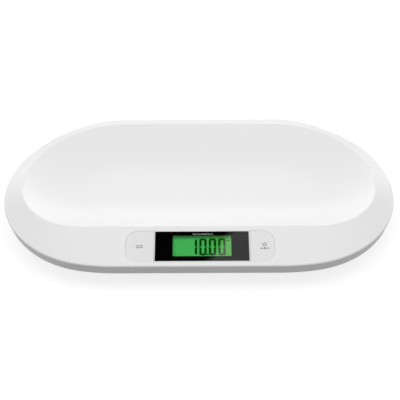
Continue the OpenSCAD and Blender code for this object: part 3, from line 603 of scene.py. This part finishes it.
# %% [markdown]
# The lens is a slab of clear acrylic with black ink on its back, bare only over the display. The
# ink and the acrylic touch, so there is no second reflection between them, and that gives the deep
# black of such a lens. Here the back face carries the ink as a second material, and two cuts each
# way mark the clear window on it.
# %% Lens
WINDOW_W, WINDOW_H, WINDOW_Y = 79.4, 34.8, 1.7
LENS_CORNER = 1.0
LENS_EASE = 0.3
LENS_BACK = on_panel("lens_mask")[1].z + 0.02
lens_bm = loft([round_rect(LENS_W, LENS_H, LENS_CORNER, z, 6) for z in (LENS_BACK, lens_high.z)])
ease_top(lens_bm, lens_high.z, LENS_EASE, 3)
for along, window_at, size in ((RIGHT, 0, WINDOW_W), (UP, WINDOW_Y, WINDOW_H)):
    for way in (-1, 1):
        slice_at(lens_bm, along, window_at + way * size / 2)
for face in lens_bm.faces:
    middle = face.calc_center_median()
    on_window = abs(middle.x) < WINDOW_W / 2 and abs(middle.y - WINDOW_Y) < WINDOW_H / 2
    face.material_index = int(middle.z < LENS_BACK + 0.01 and not on_window)
lens = placed(lens_bm, "lens_slab", LENS_PLACE)
print("lens:", [round(v, 1) for v in (LENS_W, LENS_H)], "mm, window", (WINDOW_W, WINDOW_H))

# %% [markdown]
# A key is a white plate that fills one end of the recess: round where the recess is round, straight
# against the bezel. Its outline is the recess's own, drawn in by the gap and cut off at the bezel,
# so the two can't drift apart. The top edge is eased, and a shallow dish tells the finger where to
# press. Under it are the plunger, which works the switch, and two guide pins.
# %% Keys
KEY_TOP = key_high.z - PANEL_CENTRE.z
KEY_THICK = 2.4
KEY_EASE = 0.2
DISH = 19.0
DISH_DEEP = 0.6


def make_key(node, stem, middle, side):
    """A key's plate, dished and eased, with its plunger and pins."""
    low, high = on_panel(node)
    inner = low.x if side > 0 else high.x
    round_end = round_rect(PANEL_W - 2 * PANEL_GAP, PANEL_H - 2 * PANEL_GAP,
                           PAN_CORNER - PANEL_GAP, 0, 24)
    kept = [p for p in round_end if side * (p.x - inner) > 0.5]
    if side > 0:
        kept = kept[len(kept) // 2:] + kept[:len(kept) // 2]
    kept = [Vector((inner, kept[0].y, 0))] + kept + [Vector((inner, kept[-1].y, 0))]
    bm = loft([[p + Vector((0, 0, z)) for p in kept] for z in (KEY_TOP - KEY_THICK, KEY_TOP)])
    ease_top(bm, KEY_TOP, KEY_EASE, 4)
    key = piece_from(bm, node + "_cap")
    dish = bmesh.new()
    place = (Matrix.Translation((middle, 0, KEY_TOP))
             @ Matrix.Diagonal((DISH / 2, DISH / 2, DISH_DEEP, 1)))
    bmesh.ops.create_uvsphere(dish, u_segments=96, v_segments=48, radius=1.0, matrix=place)
    combine(key, dish, "DIFFERENCE")
    for y, diameter in PINS:
        pin = bmesh.new()
        foot = low.z if y else on_panel(stem)[1].z
        rod(pin, middle, y, foot, KEY_TOP - KEY_THICK + 0.1, diameter)
        combine(key, pin, "UNION")
    key.data.transform(PANEL)
    smooth(key.data, 35)
    return key


unit_key = make_key("unit_key", "unit_switch_stem", KEY_X[0], -1)
power_key = make_key("power_key", "power_switch_stem", KEY_X[1], 1)
print("keys:", len(unit_key.data.polygons), "and", len(power_key.data.polygons), "faces")

# %% [markdown]
# The readout is a liquid crystal: dark bars in front of a lit green field. A nought is drawn as one
# ring with round corners and then cut apart at its corners and at its waist, where the clear
# electrodes of the real glass are parted too. A one is what is left on the right of a nought.
# %% The figures of the readout
figures_low, figures_high = on_panel("readout_figures")
FIGURE_W = 10.0
FIGURE_H = figures_high.y - figures_low.y
FIGURE_PITCH = 12.9
FIGURE_ROUND = 3.0, 0.5
POINT_SIZE = 2.4
STROKE = 3.2
PARTING = 0.35
WAIST = 0.5
WAIST_POINT = 2.0
LAST_FIGURE_X = figures_high.x - 3.9
FIGURE_Y = (figures_low.y + figures_high.y) / 2 + 1.0


def together(*parts):
    """One bmesh out of several, which are freed."""
    whole = bmesh.new()
    for part in parts:
        step = bpy.data.meshes.new("step")
        part.to_mesh(step)
        part.free()
        whole.from_mesh(step)
        bpy.data.meshes.remove(step)
    return whole


def flat_ring(width, height, stroke, outer_r, inner_r, low, high):
    """A frame with round corners and a rectangular section."""
    outlines = [(width, height, outer_r), (width - 2 * stroke, height - 2 * stroke, inner_r)]
    return loft([round_rect(*outlines[k], z, 8)
                 for k, z in ((0, low), (0, high), (1, high), (1, low))], to_start=True)


def figure(one=False):
    """The bars of a nought or a one, round their own middle."""
    low, high = figures_low.z, figures_high.z
    bars = piece_from(flat_ring(FIGURE_W, FIGURE_H, STROKE, *FIGURE_ROUND, low, high), "figure")
    through = low - 1, high + 1
    bar_x, bar_y = (FIGURE_W - STROKE) / 2, (FIGURE_H - STROKE) / 2
    waist_side = WAIST_POINT * math.sqrt(2)
    partings, waists = bmesh.new(), bmesh.new()
    for sx in (-1, 1):
        block(partings, sx * bar_x, 0, *through, 2 * STROKE, WAIST)
        block(waists, sx * (FIGURE_W / 2 - STROKE), 0, *through, waist_side, waist_side, 45)
        for sy in (-1, 1):
            block(partings, sx * bar_x, sy * bar_y, *through, 4 * STROKE, PARTING, 45 * sx * sy)
    combine(bars, partings, "DIFFERENCE")
    combine(bars, waists, "DIFFERENCE")
    bm = bmesh.new()
    bm.from_mesh(bars.data)
    bpy.data.objects.remove(bars)
    if one:
        for group in groups(bm):
            middle = middle_of([vert.co for vert in group])
            if middle.x < FIGURE_W / 4 or abs(middle.y) > FIGURE_H / 2 - STROKE:
                bmesh.ops.delete(bm, geom=list(group), context="VERTS")
    return bm


row = []
for k in range(4):
    bm = figure(one=k == 3)
    bmesh.ops.translate(bm, verts=bm.verts, vec=(LAST_FIGURE_X - k * FIGURE_PITCH, FIGURE_Y, 0))
    row.append(bm)
point = loft([round_rect(POINT_SIZE, POINT_SIZE, 0.5, z, 4)
              for z in (figures_low.z, figures_high.z)])
bmesh.ops.translate(point, verts=point.verts,
                    vec=(LAST_FIGURE_X - 1.5 * FIGURE_PITCH, FIGURE_Y - FIGURE_H / 2 + 1.3, 0))
readout = placed(together(*row, point), "readout_bars")
print("readout:", len(readout.data.polygons), "faces in bars", round(FIGURE_H, 1), "mm high")

# %% [markdown]
# Two small signs share the glass with the figures: a battery at the top right, and a small triangle
# at the bottom left that shows a steady load. Above the window, on the lens itself, is a row of
# white ticks. All are thin prisms made of the same blocks and rings.
# %% Small signs on the glass and the lens
SIGN_Z = figures_low.z, figures_low.z + 0.1
BATTERY_AT = LENS_X + 35.6, 10.6, 0
STEADY_AT = LENS_X - 36.0, -11.6
fill = bmesh.new()
for x, width, height in ((-1.35, 0.7, 1.1), (-0.25, 0.7, 1.1), (0.85, 0.7, 1.1), (2.6, 0.6, 1.0)):
    block(fill, x, 0, *SIGN_Z, width, height)
battery_sign = together(flat_ring(4.6, 2.4, 0.4, 0.3, 0.1, *SIGN_Z), fill)
bmesh.ops.translate(battery_sign, verts=battery_sign.verts, vec=BATTERY_AT)
steady_sign = bmesh.new()
rod(steady_sign, *STEADY_AT, *SIGN_Z, 2.6, 3)
display_signs = placed(together(battery_sign, steady_sign), "display_signs")

TICKS, TALL_EVERY = 15, 7
TICK_PITCH = 1.9
TICK_W, TICK_H, TALL_TICK_H = 0.6, 1.4, 2.2
TICK_X, TICK_Y = LENS_X + 1.0, LENS_H / 2 - 3.3
ticks_bm = bmesh.new()
for k in range(TICKS):
    tall = TICK_H if k % TALL_EVERY else TALL_TICK_H
    block(ticks_bm, TICK_X + (k - (TICKS - 1) / 2) * TICK_PITCH, TICK_Y - (TALL_TICK_H - tall) / 2,
          LENS_BACK + 0.01, LENS_BACK + 0.03, TICK_W, tall)
lens_ticks = placed(ticks_bm, "lens_ticks")
print("signs:", len(display_signs.data.polygons), "faces; ticks:", TICKS)

# %% [markdown]
# The keys carry plain grey signs: two opposed arrows for the change of unit, and a power ring over
# an arrowed nought for switching on and setting to zero. Ink lies on the dish like a skin. So each
# sign is drawn flat, sliced into a fine grid that can bend, and every point is dropped on the key.
# %% Signs on the keys
INK, INK_SUNK, INK_LINE = 0.03, 0.01, 0.95
SLICE = 0.8
ARROW_HEAD = 1.4
OVER_KEY = 5.0


def arrow(x, y, length, direction):
    """A flat arrow with its middle at x, y, which points along +X or -X."""
    bm = bmesh.new()
    block(bm, x - direction * ARROW_HEAD * 0.75, y, 0, INK, length - 1.5 * ARROW_HEAD, INK_LINE)
    tip = x + direction * (length / 2 - ARROW_HEAD)
    rod(bm, tip, y, 0, INK, 2 * ARROW_HEAD, 3, -90 * direction)
    return bm


def arc(x, y, radius, start, end, steps=28):
    """A flat band along part of a circle, from one angle to another in degrees."""
    section = [(radius + side * INK_LINE / 2, z)
               for side, z in ((-1, 0), (1, 0), (1, INK), (-1, INK))]
    turns = [math.radians(start + (end - start) * k / steps) for k in range(steps + 1)]
    return loft([[Vector((x + r * math.cos(a), y + r * math.sin(a), z)) for r, z in section]
                 for a in turns])


def printed(bm, key, name):
    """Lays a flat sign on a key's face and returns it as a piece."""
    spots = [vert.co.copy() for vert in bm.verts]
    for axis, along in enumerate((RIGHT, UP)):
        start, end = min(s[axis] for s in spots), max(s[axis] for s in spots)
        for k in range(1, int((end - start) / SLICE)):
            slice_at(bm, along, start + k * SLICE)
    face = BVHTree.FromObject(key, bpy.context.evaluated_depsgraph_get())
    down = PANEL.to_3x3() @ Vector((0, 0, -1))
    for vert in bm.verts:
        hit = face.ray_cast(PANEL @ Vector((vert.co.x, vert.co.y, OVER_KEY)), down)[0]
        vert.co = hit - down * (vert.co.z if vert.co.z > INK / 2 else -INK_SUNK)
    return piece_from(bm, name)


unit_x, power_x = KEY_X
opposed = together(arrow(unit_x, 1.6, 9.6, 1), arrow(unit_x, -1.6, 9.6, -1))
unit_sign = printed(opposed, unit_key, "unit_key_sign")

ZERO_Y = -3.4
ZERO_OUTER, ZERO_INNER = (1.5, 2.0), (0.65, 1.15)
stroke_up = bmesh.new()
block(stroke_up, power_x, 5.2, 0, INK, INK_LINE, 2.6)
turns = [2 * math.pi * k / 36 for k in range(36)]
section = ((ZERO_OUTER, 0), (ZERO_OUTER, INK), (ZERO_INNER, INK), (ZERO_INNER, 0))
zero = loft([[Vector((power_x + rx * math.cos(a), ZERO_Y + ry * math.sin(a), z)) for a in turns]
             for (rx, ry), z in section], to_start=True)
power_marks = together(arc(power_x, 3.2, 2.5, 125, 415), stroke_up, zero,
                       *(arrow(power_x + 4.4 * way, ZERO_Y, 4.6, -way) for way in (-1, 1)))
power_sign = printed(power_marks, power_key, "power_key_sign")
print("faces of the key signs:", len(unit_sign.data.polygons), len(power_sign.data.polygons))

# %% [markdown]
# Materials are node trees. Colours are written as the hex values a painter would pick on a screen,
# so one function turns them to the linear light that shaders reckon with. Another adds a node with
# its settings and whatever feeds it, so a tree reads from top to bottom like a recipe. The few
# steps that most recipes share have a short name each, with sizes in millimetres.
# %% Colours and nodes
def linear(code):
    """An sRGB hex colour as linear values."""
    parts = [int(code[k:k + 2], 16) / 255 for k in (1, 3, 5)]
    return [p / 12.92 if p <= 0.04045 else ((p + 0.055) / 1.055) ** 2.4 for p in parts] + [1.0]


def add(tree, kind, inputs, **settings):
    """Adds a node; each input is given a value, or the socket or node that feeds it."""
    node = tree.nodes.new("ShaderNode" + kind)
    for name, value in settings.items():
        setattr(node, name, value)
    for name, value in inputs.items():
        if isinstance(value, bpy.types.Node):
            value = value.outputs[0]
        if isinstance(value, bpy.types.NodeSocket):
            tree.links.new(value, node.inputs[name])
        else:
            node.inputs[name].default_value = value
    return node


def surface(name):
    """A new material, its empty tree, and the place of each point of a piece."""
    material = bpy.data.materials.new(name)
    material.use_nodes = True
    material.node_tree.nodes.clear()
    tree = material.node_tree
    return material, tree, add(tree, "TexCoord", {}).outputs["Object"]


def close(tree, kind, inputs):
    """Adds the last shader of a material and shows it."""
    add(tree, "OutputMaterial", {"Surface": add(tree, kind, inputs)})


def noise(tree, place, spacing, detail, roughness=0.5):
    return add(tree, "TexNoise", {"Vector": place, "Scale": 1 / (spacing * MM), "Detail": detail,
                                  "Roughness": roughness})


def spread(tree, value, start, end, low, high, ease="LINEAR"):
    """Stretches a value from one range to another, and keeps it there."""
    return add(tree, "MapRange", {"Value": value, "From Min": start, "From Max": end,
                                  "To Min": low, "To Max": high}, interpolation_type=ease)


def blend(tree, factor, first, second):
    """Two colours mixed. A Mix node has the colours at inputs 6 and 7 and their mix at output 2."""
    return add(tree, "Mix", {0: factor, 6: first, 7: second}, data_type="RGBA").outputs[2]


def relief(tree, height, depth):
    return add(tree, "Bump", {"Height": height, "Distance": depth * MM, "Strength": 1.0})


WHITE = linear("#ffffff")
print("white #ffffff is", WHITE, "and mid grey #808080 is", round(linear("#808080")[0], 3))

# %% [markdown]
# Most pieces are moulded plastic or rubber. What tells one from another is the size of the grain
# that the mould left, how deep it is, and how dull it makes the surface. Real mouldings also drift
# a little in shade and shine from place to place. One recipe takes these numbers in millimetres.
# %% Moulded plastics and rubber
DRIFT_SPACING = 45.0
SHINE_DRIFT = 0.04


def moulded(name, code, roughness, grain, depth, drift=0.03, ior=1.53, gloss=0.5):
    """A surface with a grain of some spacing and depth, a drift of shade, and a gloss."""
    material, tree, place = surface(name)
    colour = linear(code)
    fine = noise(tree, place, grain, 3.0, 0.6)
    shade = [c * (1 - drift) for c in colour[:3]] + [1.0]
    close(tree, "BsdfPrincipled", {
        "Base Color": blend(tree, noise(tree, place, DRIFT_SPACING, 2.0), shade, colour),
        "Roughness": spread(tree, fine, 0.3, 0.7, roughness - SHINE_DRIFT, roughness + SHINE_DRIFT),
        "IOR": ior, "Specular IOR Level": gloss, "Normal": relief(tree, fine, depth)})
    return material


# For each slot: name, colour, roughness, spacing and depth of the grain, drift of shade, IOR, gloss
PLASTICS = {
    # ABS of the base, spark-eroded mould: an even fine satin
    "base_grey": ("abs_satin_grey", "#e0e1e2", 0.42, 0.9, 0.012),
    # ABS of the keys: smoother than the base and the tray
    "key_white": ("abs_key_white", "#f1f1f2", 0.34, 1.2, 0.004, 0.01),
    # Rubber of the feet: dull, with a coarse grain
    "pad_rubber": ("rubber_pad", "#38383a", 0.72, 1.4, 0.05, 0.12, 1.52),
    # Foam under the lens: open cells that drink the light
    "foam_black": ("foam_gasket", "#161617", 0.9, 0.5, 0.12, 0.2, 1.3),
    # Holder inside: matt white polystyrene that throws the backlight forward
    "holder_white": ("polystyrene_white", "#e4e4df", 0.5, 0.8, 0.01, 0.02, 1.59),
    # Contact strips: silicone with dark conductive layers
    "strip_grey": ("silicone_strip", "#77777b", 0.6, 0.35, 0.02, 0.25, 1.41),
    # Chip cover, plugs and switch cases: filled nylon, a little mottled
    "component_black": ("nylon_black", "#2a2a2c", 0.45, 0.7, 0.015, 0.15),
    # Switch stems: acetal, smooth and slightly waxy
    "stem_red": ("acetal_red", "#a8382f", 0.35, 1.0, 0.006, 0.05, 1.48),
    # Sheaths of the leads: soft PVC
    "lead_white": ("pvc_white", "#e6e6e0", 0.38, 1.5, 0.02, 0.05, 1.54),
    "lead_red": ("pvc_red", "#ae342c", 0.38, 1.5, 0.02, 0.08, 1.54),
    # Wrap of the cells: thin shrunk film, left plain
    "cell_wrap": ("shrink_film", "#6b7a45", 0.28, 3.0, 0.03, 0.1, 1.5),
    # Ink printed on film, thin and nearly flat
    "film_black": ("ink_film_black", "#0a0a0a", 0.5, 0.6, 0.003, 0.2),
    # The figures: they lie inside the display's glass, so they have no shine of their own
    "figure_dark": ("liquid_crystal_dark", "#053a0a", 0.6, 2.0, 0.002, 0.2, 1.53, 0.0)}
FINISHES = {slot: moulded(*numbers) for slot, numbers in PLASTICS.items()}

# The bezel is polished, and its white is painted a little whiter than the tray's, as a painted
# highlight for its bright lip. The signs and ticks are inks on the keys and the lens
bezel_white = moulded("abs_bezel_white", "#fdfdfd", 0.18, 6.0, 0.01, 0.005)
sign_grey = moulded("ink_grey", "#4c4c50", 0.5, 0.6, 0.003, 0.06)
tick_white = moulded("ink_white", "#f0f0f0", 0.6, 0.6, 0.003, 0.02)
print("moulded and printed finishes:", len(bpy.data.materials))

# %% [markdown]
# The tray is one piece with two finishes. The bowl's soft silk spreads what it mirrors over a wide
# angle, and the rim's satin is finer, with a grain. The attribute that was stored on the mesh
# blends roughness and grain between the two, and a painted shade that makes the rim's white a
# little greyer, so the change runs exactly along the crest.
# %% The tray's white
FINISHES["tray_white"], tree, place = surface("abs_silk_white")
on_rim = add(tree, "Attribute", {}, attribute_name="satin").outputs["Fac"]
swell = relief(tree, noise(tree, place, 28.0, 1.0), 0.03)
grain = add(tree, "Bump", {"Height": noise(tree, place, 0.8, 3.0), "Distance": 0.006 * MM,
                           "Strength": on_rim, "Normal": swell})
close(tree, "BsdfPrincipled", {
    # painted shade: the rim's white is a little greyer than the bowl's, for the dimmer light on it
    "Base Color": blend(tree, on_rim, linear("#fafafa"), linear("#f7f7f8")),
    "Roughness": spread(tree, on_rim, 0.0, 1.0, 0.46, 0.4), "IOR": 1.53, "Normal": grain})
print("tray finish reads:", on_rim.node.attribute_name)

# %% [markdown]
# The lens is cast acrylic: it bends light and mirrors about four percent of the room. Lamps would
# throw no light through solid glass without many more samples, so a shadow ray sees it as clear.
# The ink on its back absorbs nearly everything and has no shine of its own, because it is wetted by
# the acrylic.
# %% Acrylic and ink
ACRYLIC_IOR = 1.49
FINISHES["lens_clear"], tree, place = surface("acrylic_clear")
haze = spread(tree, noise(tree, place, 9.0, 4.0), 0.45, 0.8, 0.0, 0.03)
acrylic = add(tree, "BsdfPrincipled", {"Base Color": linear("#fdfefe"), "Roughness": haze,
                                       "IOR": ACRYLIC_IOR, "Transmission Weight": 1.0})
clear = add(tree, "BsdfTransparent", {"Color": linear("#fafbfb")})
lamp_ray = add(tree, "LightPath", {}).outputs["Is Shadow Ray"]
close(tree, "MixShader", {0: lamp_ray, 1: acrylic, 2: clear})

lens_ink, tree, place = surface("ink_black_behind")
black = blend(tree, noise(tree, place, 3.0, 2.0), linear("#030303"), linear("#060606"))
close(tree, "BsdfPrincipled", {"Base Color": black, "Roughness": 0.9, "Specular IOR Level": 0.0})
print("lens: acrylic over ink")

# %% [markdown]
# The display is lit from one side by green diodes, so its field runs from a bluish green on the
# left to a yellower one on the right. The lens sits above it, and its black edge shades the top and
# the left of the field. Coordinates are taken from the window itself, turned with the slope, and
# run from -1 to 1 each way.
# %% The lit field
FINISHES["display_green"], tree, place = surface("liquid_crystal_lit")
window_middle = PANEL @ Vector((LENS_X, 0, on_panel("display_glass")[1].z))
field = add(tree, "Mapping", {
    "Vector": place, "Location": window_middle * MM, "Rotation": (SLOPE, 0, 0),
    "Scale": (WINDOW_W / 2 * MM, WINDOW_H / 2 * MM, MM)}, vector_type="TEXTURE")
across = add(tree, "SeparateXYZ", {"Vector": field}).outputs
sideways = spread(tree, across["X"], -0.1, 1.0, 0.0, 1.0, "SMOOTHSTEP")
green = blend(tree, sideways, linear("#3fb050"), linear("#3fa62c"))
top_shade = spread(tree, across["Y"], 0.68, 1.0, 0.0, 0.75, "SMOOTHSTEP")
left_shade = spread(tree, across["X"], -0.9, -1.0, 0.0, 0.5, "SMOOTHSTEP")
lit = blend(tree, left_shade, blend(tree, top_shade, green, linear("#1e4a26")), linear("#1e5a36"))
close(tree, "BsdfPrincipled", {
    "Base Color": linear("#101c12"),
    "Roughness": spread(tree, noise(tree, place, 7.0, 2.0), 0.3, 0.7, 0.25, 0.35),
    "Specular IOR Level": 0.1, "Emission Color": lit, "Emission Strength": 1.0})
print("lit field centred at", [round(c, 1) for c in window_middle], "mm")

# %% [markdown]
# Inside, where only an opened scale shows them, are metal, board and the light guide. Steel springs
# and plates are zinc plated: bright, with a fine drawn grain. The board's green lacquer is glossy
# over fine copper tracks that show as a faint pattern, and the guide is clear acrylic, frosted by
# its dots.
# %% Metal, board and light guide
FINISHES["steel"], tree, place = surface("steel_zinc_plated")
drawn = add(tree, "Mapping", {"Vector": place,
                              "Scale": (1 / (14 * MM), 1 / (0.5 * MM), 1 / (0.5 * MM))})
streak = add(tree, "TexNoise", {"Vector": drawn, "Scale": 1.0, "Detail": 3.0})
close(tree, "BsdfPrincipled", {
    "Base Color": blend(tree, noise(tree, place, 6.0, 2.0), linear("#b9bcc0"), linear("#d2d4d6")),
    "Metallic": 1.0, "Roughness": spread(tree, streak, 0.3, 0.7, 0.22, 0.36),
    "Normal": relief(tree, streak, 0.006)})

FINISHES["board_green"], tree, place = surface("solder_mask_green")
level_board = add(tree, "Mapping", {"Vector": place, "Rotation": (SLOPE, 0, 0)},
                  vector_type="TEXTURE")
tracks = add(tree, "TexBrick", {
    "Vector": level_board, "Scale": 1 / (6 * MM), "Mortar Size": 0.06, "Color1": linear("#1c6a37"),
    "Color2": linear("#1f7440"), "Mortar": linear("#2e8a50")})
close(tree, "BsdfPrincipled", {"Base Color": tracks, "Roughness": 0.28, "IOR": 1.5,
                               "Normal": relief(tree, tracks.outputs["Fac"], 0.03)})

FINISHES["guide_clear"], tree, place = surface("acrylic_frosted")
dots = add(tree, "TexVoronoi", {"Vector": place, "Scale": 1 / (1.6 * MM)})
close(tree, "BsdfPrincipled", {
    "Base Color": linear("#e2f2e0"), "Roughness": spread(tree, dots, 0.2, 0.5, 0.6, 0.15),
    "IOR": ACRYLIC_IOR, "Transmission Weight": 0.6})
print("all materials:", len(bpy.data.materials))

# %% [markdown]
# Now each piece gets its finish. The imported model's pieces stay where they are and only their
# material slot changes, while the pieces made here are brought from millimetres to metres and
# handed to the body they move with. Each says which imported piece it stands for, so that one is
# hidden.
# %% Finishes and bodies
for subpart in frame["record"]["subparts"]:
    packed = frame["nodes"][subpart["node"]]
    if not packed.material_slots:
        packed.data.materials.append(None)
    for place_of_material in packed.material_slots:
        place_of_material.material = FINISHES[subpart["material_slot"]]


def settle(piece, body, slot, replaced, *finishes):
    """Brings a piece to metres, gives it its finishes and hands it to its body."""
    piece.data.transform(Matrix.Scale(MM, 4))
    for finish in finishes or [FINISHES[slot]]:
        piece.data.materials.append(finish)
    piece.modifiers.new("flat_faces_stay_flat", "WEIGHTED_NORMAL").keep_sharp = True
    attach(piece, body)
    if replaced:
        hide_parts(replaced)


settle(tray, "housing", "tray_white", "tray_shell")
settle(base, "housing", "base_grey", "base_shell")
settle(screws, "housing", "steel", "housing_screws")
settle(bezel, "housing", "tray_white", "panel_bezel", bezel_white)
settle(lens, "housing", "lens_clear", "display_lens", FINISHES["lens_clear"], lens_ink)
settle(readout, "housing", "figure_dark", "readout_figures")
settle(display_signs, "housing", "figure_dark", None)
settle(lens_ticks, "housing", "holder_white", None, tick_white)
settle(unit_key, "unit_key_body", "key_white", "unit_key")
settle(power_key, "power_key_body", "key_white", "power_key")
settle(unit_sign, "unit_key_body", "film_black", None, sign_grey)
settle(power_sign, "power_key_body", "film_black", None, sign_grey)

# %% [markdown]
# A product picture is taken on a pale sweep with soft light from above. The floor here takes the
# real shadow. Eyes, mirrors and clear pieces also see a little of its own light, so that it reaches
# white, while the object is lit no brighter for it.
# %% Floor
def stood(bm, name, material):
    """Stands a piece of the studio, drawn in mm, in the scene."""
    piece = piece_from(bm, name)
    piece.data.transform(Matrix.Scale(MM, 4))
    piece.data.materials.append(material)
    return piece


def looked_at(tree):
    """1 where an eye, a mirror or a clear piece looks, 0 for every other ray."""
    rays = add(tree, "LightPath", {}).outputs
    either = add(tree, "Math", {0: rays["Is Camera Ray"], 1: rays["Is Glossy Ray"]},
                 operation="MAXIMUM")
    return add(tree, "Math", {0: either, 1: rays["Is Transmission Ray"]}, operation="MAXIMUM")


FLOOR_HALF = 6000.0
FLOOR_LIFT = 0.77
paper, tree, _ = surface("paper_sweep")
matt = add(tree, "BsdfDiffuse", {"Color": linear("#aaaaaa")})
lift = add(tree, "Emission", {"Color": WHITE, "Strength": FLOOR_LIFT})
nothing = add(tree, "Emission", {"Color": linear("#000000"), "Strength": 0.0})
extra = add(tree, "MixShader", {0: looked_at(tree), 1: nothing, 2: lift})
close(tree, "AddShader", {0: matt, 1: extra})
floor_bm = bmesh.new()
bmesh.ops.create_grid(floor_bm, x_segments=1, y_segments=1, size=FLOOR_HALF)
floor = stood(floor_bm, "floor", paper)
print("floor:", [round(d, 1) for d in floor.dimensions])

# %% [markdown]
# The world is white wherever an eye, a mirror or clear acrylic looks at it, and dimmer as a lamp,
# so the shape still shows. One soft box hangs over the front edge and a weak one behind.
# %% World and soft boxes
AMBIENT = 0.5
world = bpy.data.worlds.new("studio")
bpy.context.scene.world = world
world.use_nodes = True
tree = world.node_tree
tree.nodes.clear()
power = spread(tree, looked_at(tree), 0.0, 1.0, AMBIENT, 1.0)
add(tree, "OutputWorld", {"Surface": add(tree, "Background", {"Color": WHITE, "Strength": power})})

AIM = Vector((0, 0, 0.04))


def soft_box(name, place, watts):
    """A wide lamp over the scale, turned to it, which no mirror shows."""
    lamp = bpy.data.lights.new(name, "AREA")
    lamp.shape = "RECTANGLE"
    lamp.size, lamp.size_y = 1.1, 0.5
    lamp.energy = watts
    box = bpy.data.objects.new(name, lamp)
    box.location = place
    box.rotation_euler = (AIM - place).to_track_quat("-Z", "Y").to_euler()
    box.visible_glossy = False
    bpy.context.scene.collection.objects.link(box)


soft_box("front_soft_box", Vector((0, -0.28, 0.9)), 3.1)
soft_box("back_soft_box", Vector((0, 0.55, 0.9)), 0.5)

# %% [markdown]
# A dark card stands where the lens mirrors the room, as a photographer places one to keep black
# glass black: its slanting right edge is what leaves the lens grey on that side. It shows in
# mirrors and through the lens alone. A tall panel behind the scale, brightest at its foot, is what
# the bowl mirrors towards its front, so the bowl grows brighter there.
# %% Dark card and lit panel
CARD_LEFT, CARD_FRONT, CARD_BACK, CARD_Z = -78.0, -40.0, 58.0, 320.0
EDGE_FROM, EDGE_TO, EDGE_SOFT = Vector((12, CARD_FRONT)), Vector((76, CARD_BACK)), 7.0
along = (EDGE_TO - EDGE_FROM).normalized()
across_edge = Vector((along.y, -along.x))
edge_at = EDGE_FROM.dot(across_edge)
felt, tree, place = surface("black_felt")
reach = add(tree, "VectorMath", {0: place, 1: (across_edge.x, across_edge.y, 0)},
            operation="DOT_PRODUCT").outputs["Value"]
fade = spread(tree, reach, (edge_at - EDGE_SOFT) * MM, (edge_at + EDGE_SOFT) * MM, 0.0, 1.0)
dull = add(tree, "BsdfDiffuse", {"Color": linear("#050505")})
gone = add(tree, "BsdfTransparent", {"Color": WHITE})
close(tree, "MixShader", {0: fade, 1: dull, 2: gone})
card_bm = bmesh.new()
corners = [(CARD_LEFT, CARD_FRONT), EDGE_FROM + EDGE_SOFT * across_edge,
           EDGE_TO + EDGE_SOFT * across_edge, (CARD_LEFT, CARD_BACK)]
bmesh.ops.contextual_create(card_bm, geom=[card_bm.verts.new((x, y, CARD_Z)) for x, y in corners])
card = stood(card_bm, "dark_card", felt)
card.visible_camera = card.visible_diffuse = card.visible_shadow = False

PANEL_LOW, PANEL_TOP, PANEL_BACK, PANEL_HALF = 60.0, 1400.0, 1300.0, 1500.0
PANEL_FOOT_LIGHT = 4.0
glow, tree, place = surface("lit_diffuser")
height = add(tree, "SeparateXYZ", {"Vector": place}).outputs["Z"]
fading = spread(tree, height, PANEL_LOW * MM, PANEL_TOP * MM, PANEL_FOOT_LIGHT, 1.0, "SMOOTHSTEP")
close(tree, "Emission", {"Color": WHITE, "Strength": fading})
back_bm = bmesh.new()
bmesh.ops.create_grid(back_bm, x_segments=1, y_segments=1, size=1.0, matrix=(
    Matrix.Translation((0, PANEL_BACK, (PANEL_LOW + PANEL_TOP) / 2))
    @ Matrix.Rotation(math.pi / 2, 4, "X")
    @ Matrix.Diagonal((PANEL_HALF, (PANEL_TOP - PANEL_LOW) / 2, 1, 1))))
back_panel = stood(back_bm, "back_panel", glow)
back_panel.visible_camera = back_panel.visible_diffuse = False
back_panel.visible_shadow = back_panel.visible_transmission = False
print("card and panel stand", CARD_Z, "mm over and", PANEL_BACK, "mm behind the scale")

# %% [markdown]
# Last, colours are shown through the Standard view, with no tone curve of its own. The finish must
# not make the object any larger.
# %% Colour view
bpy.context.scene.view_settings.view_transform = "Standard"
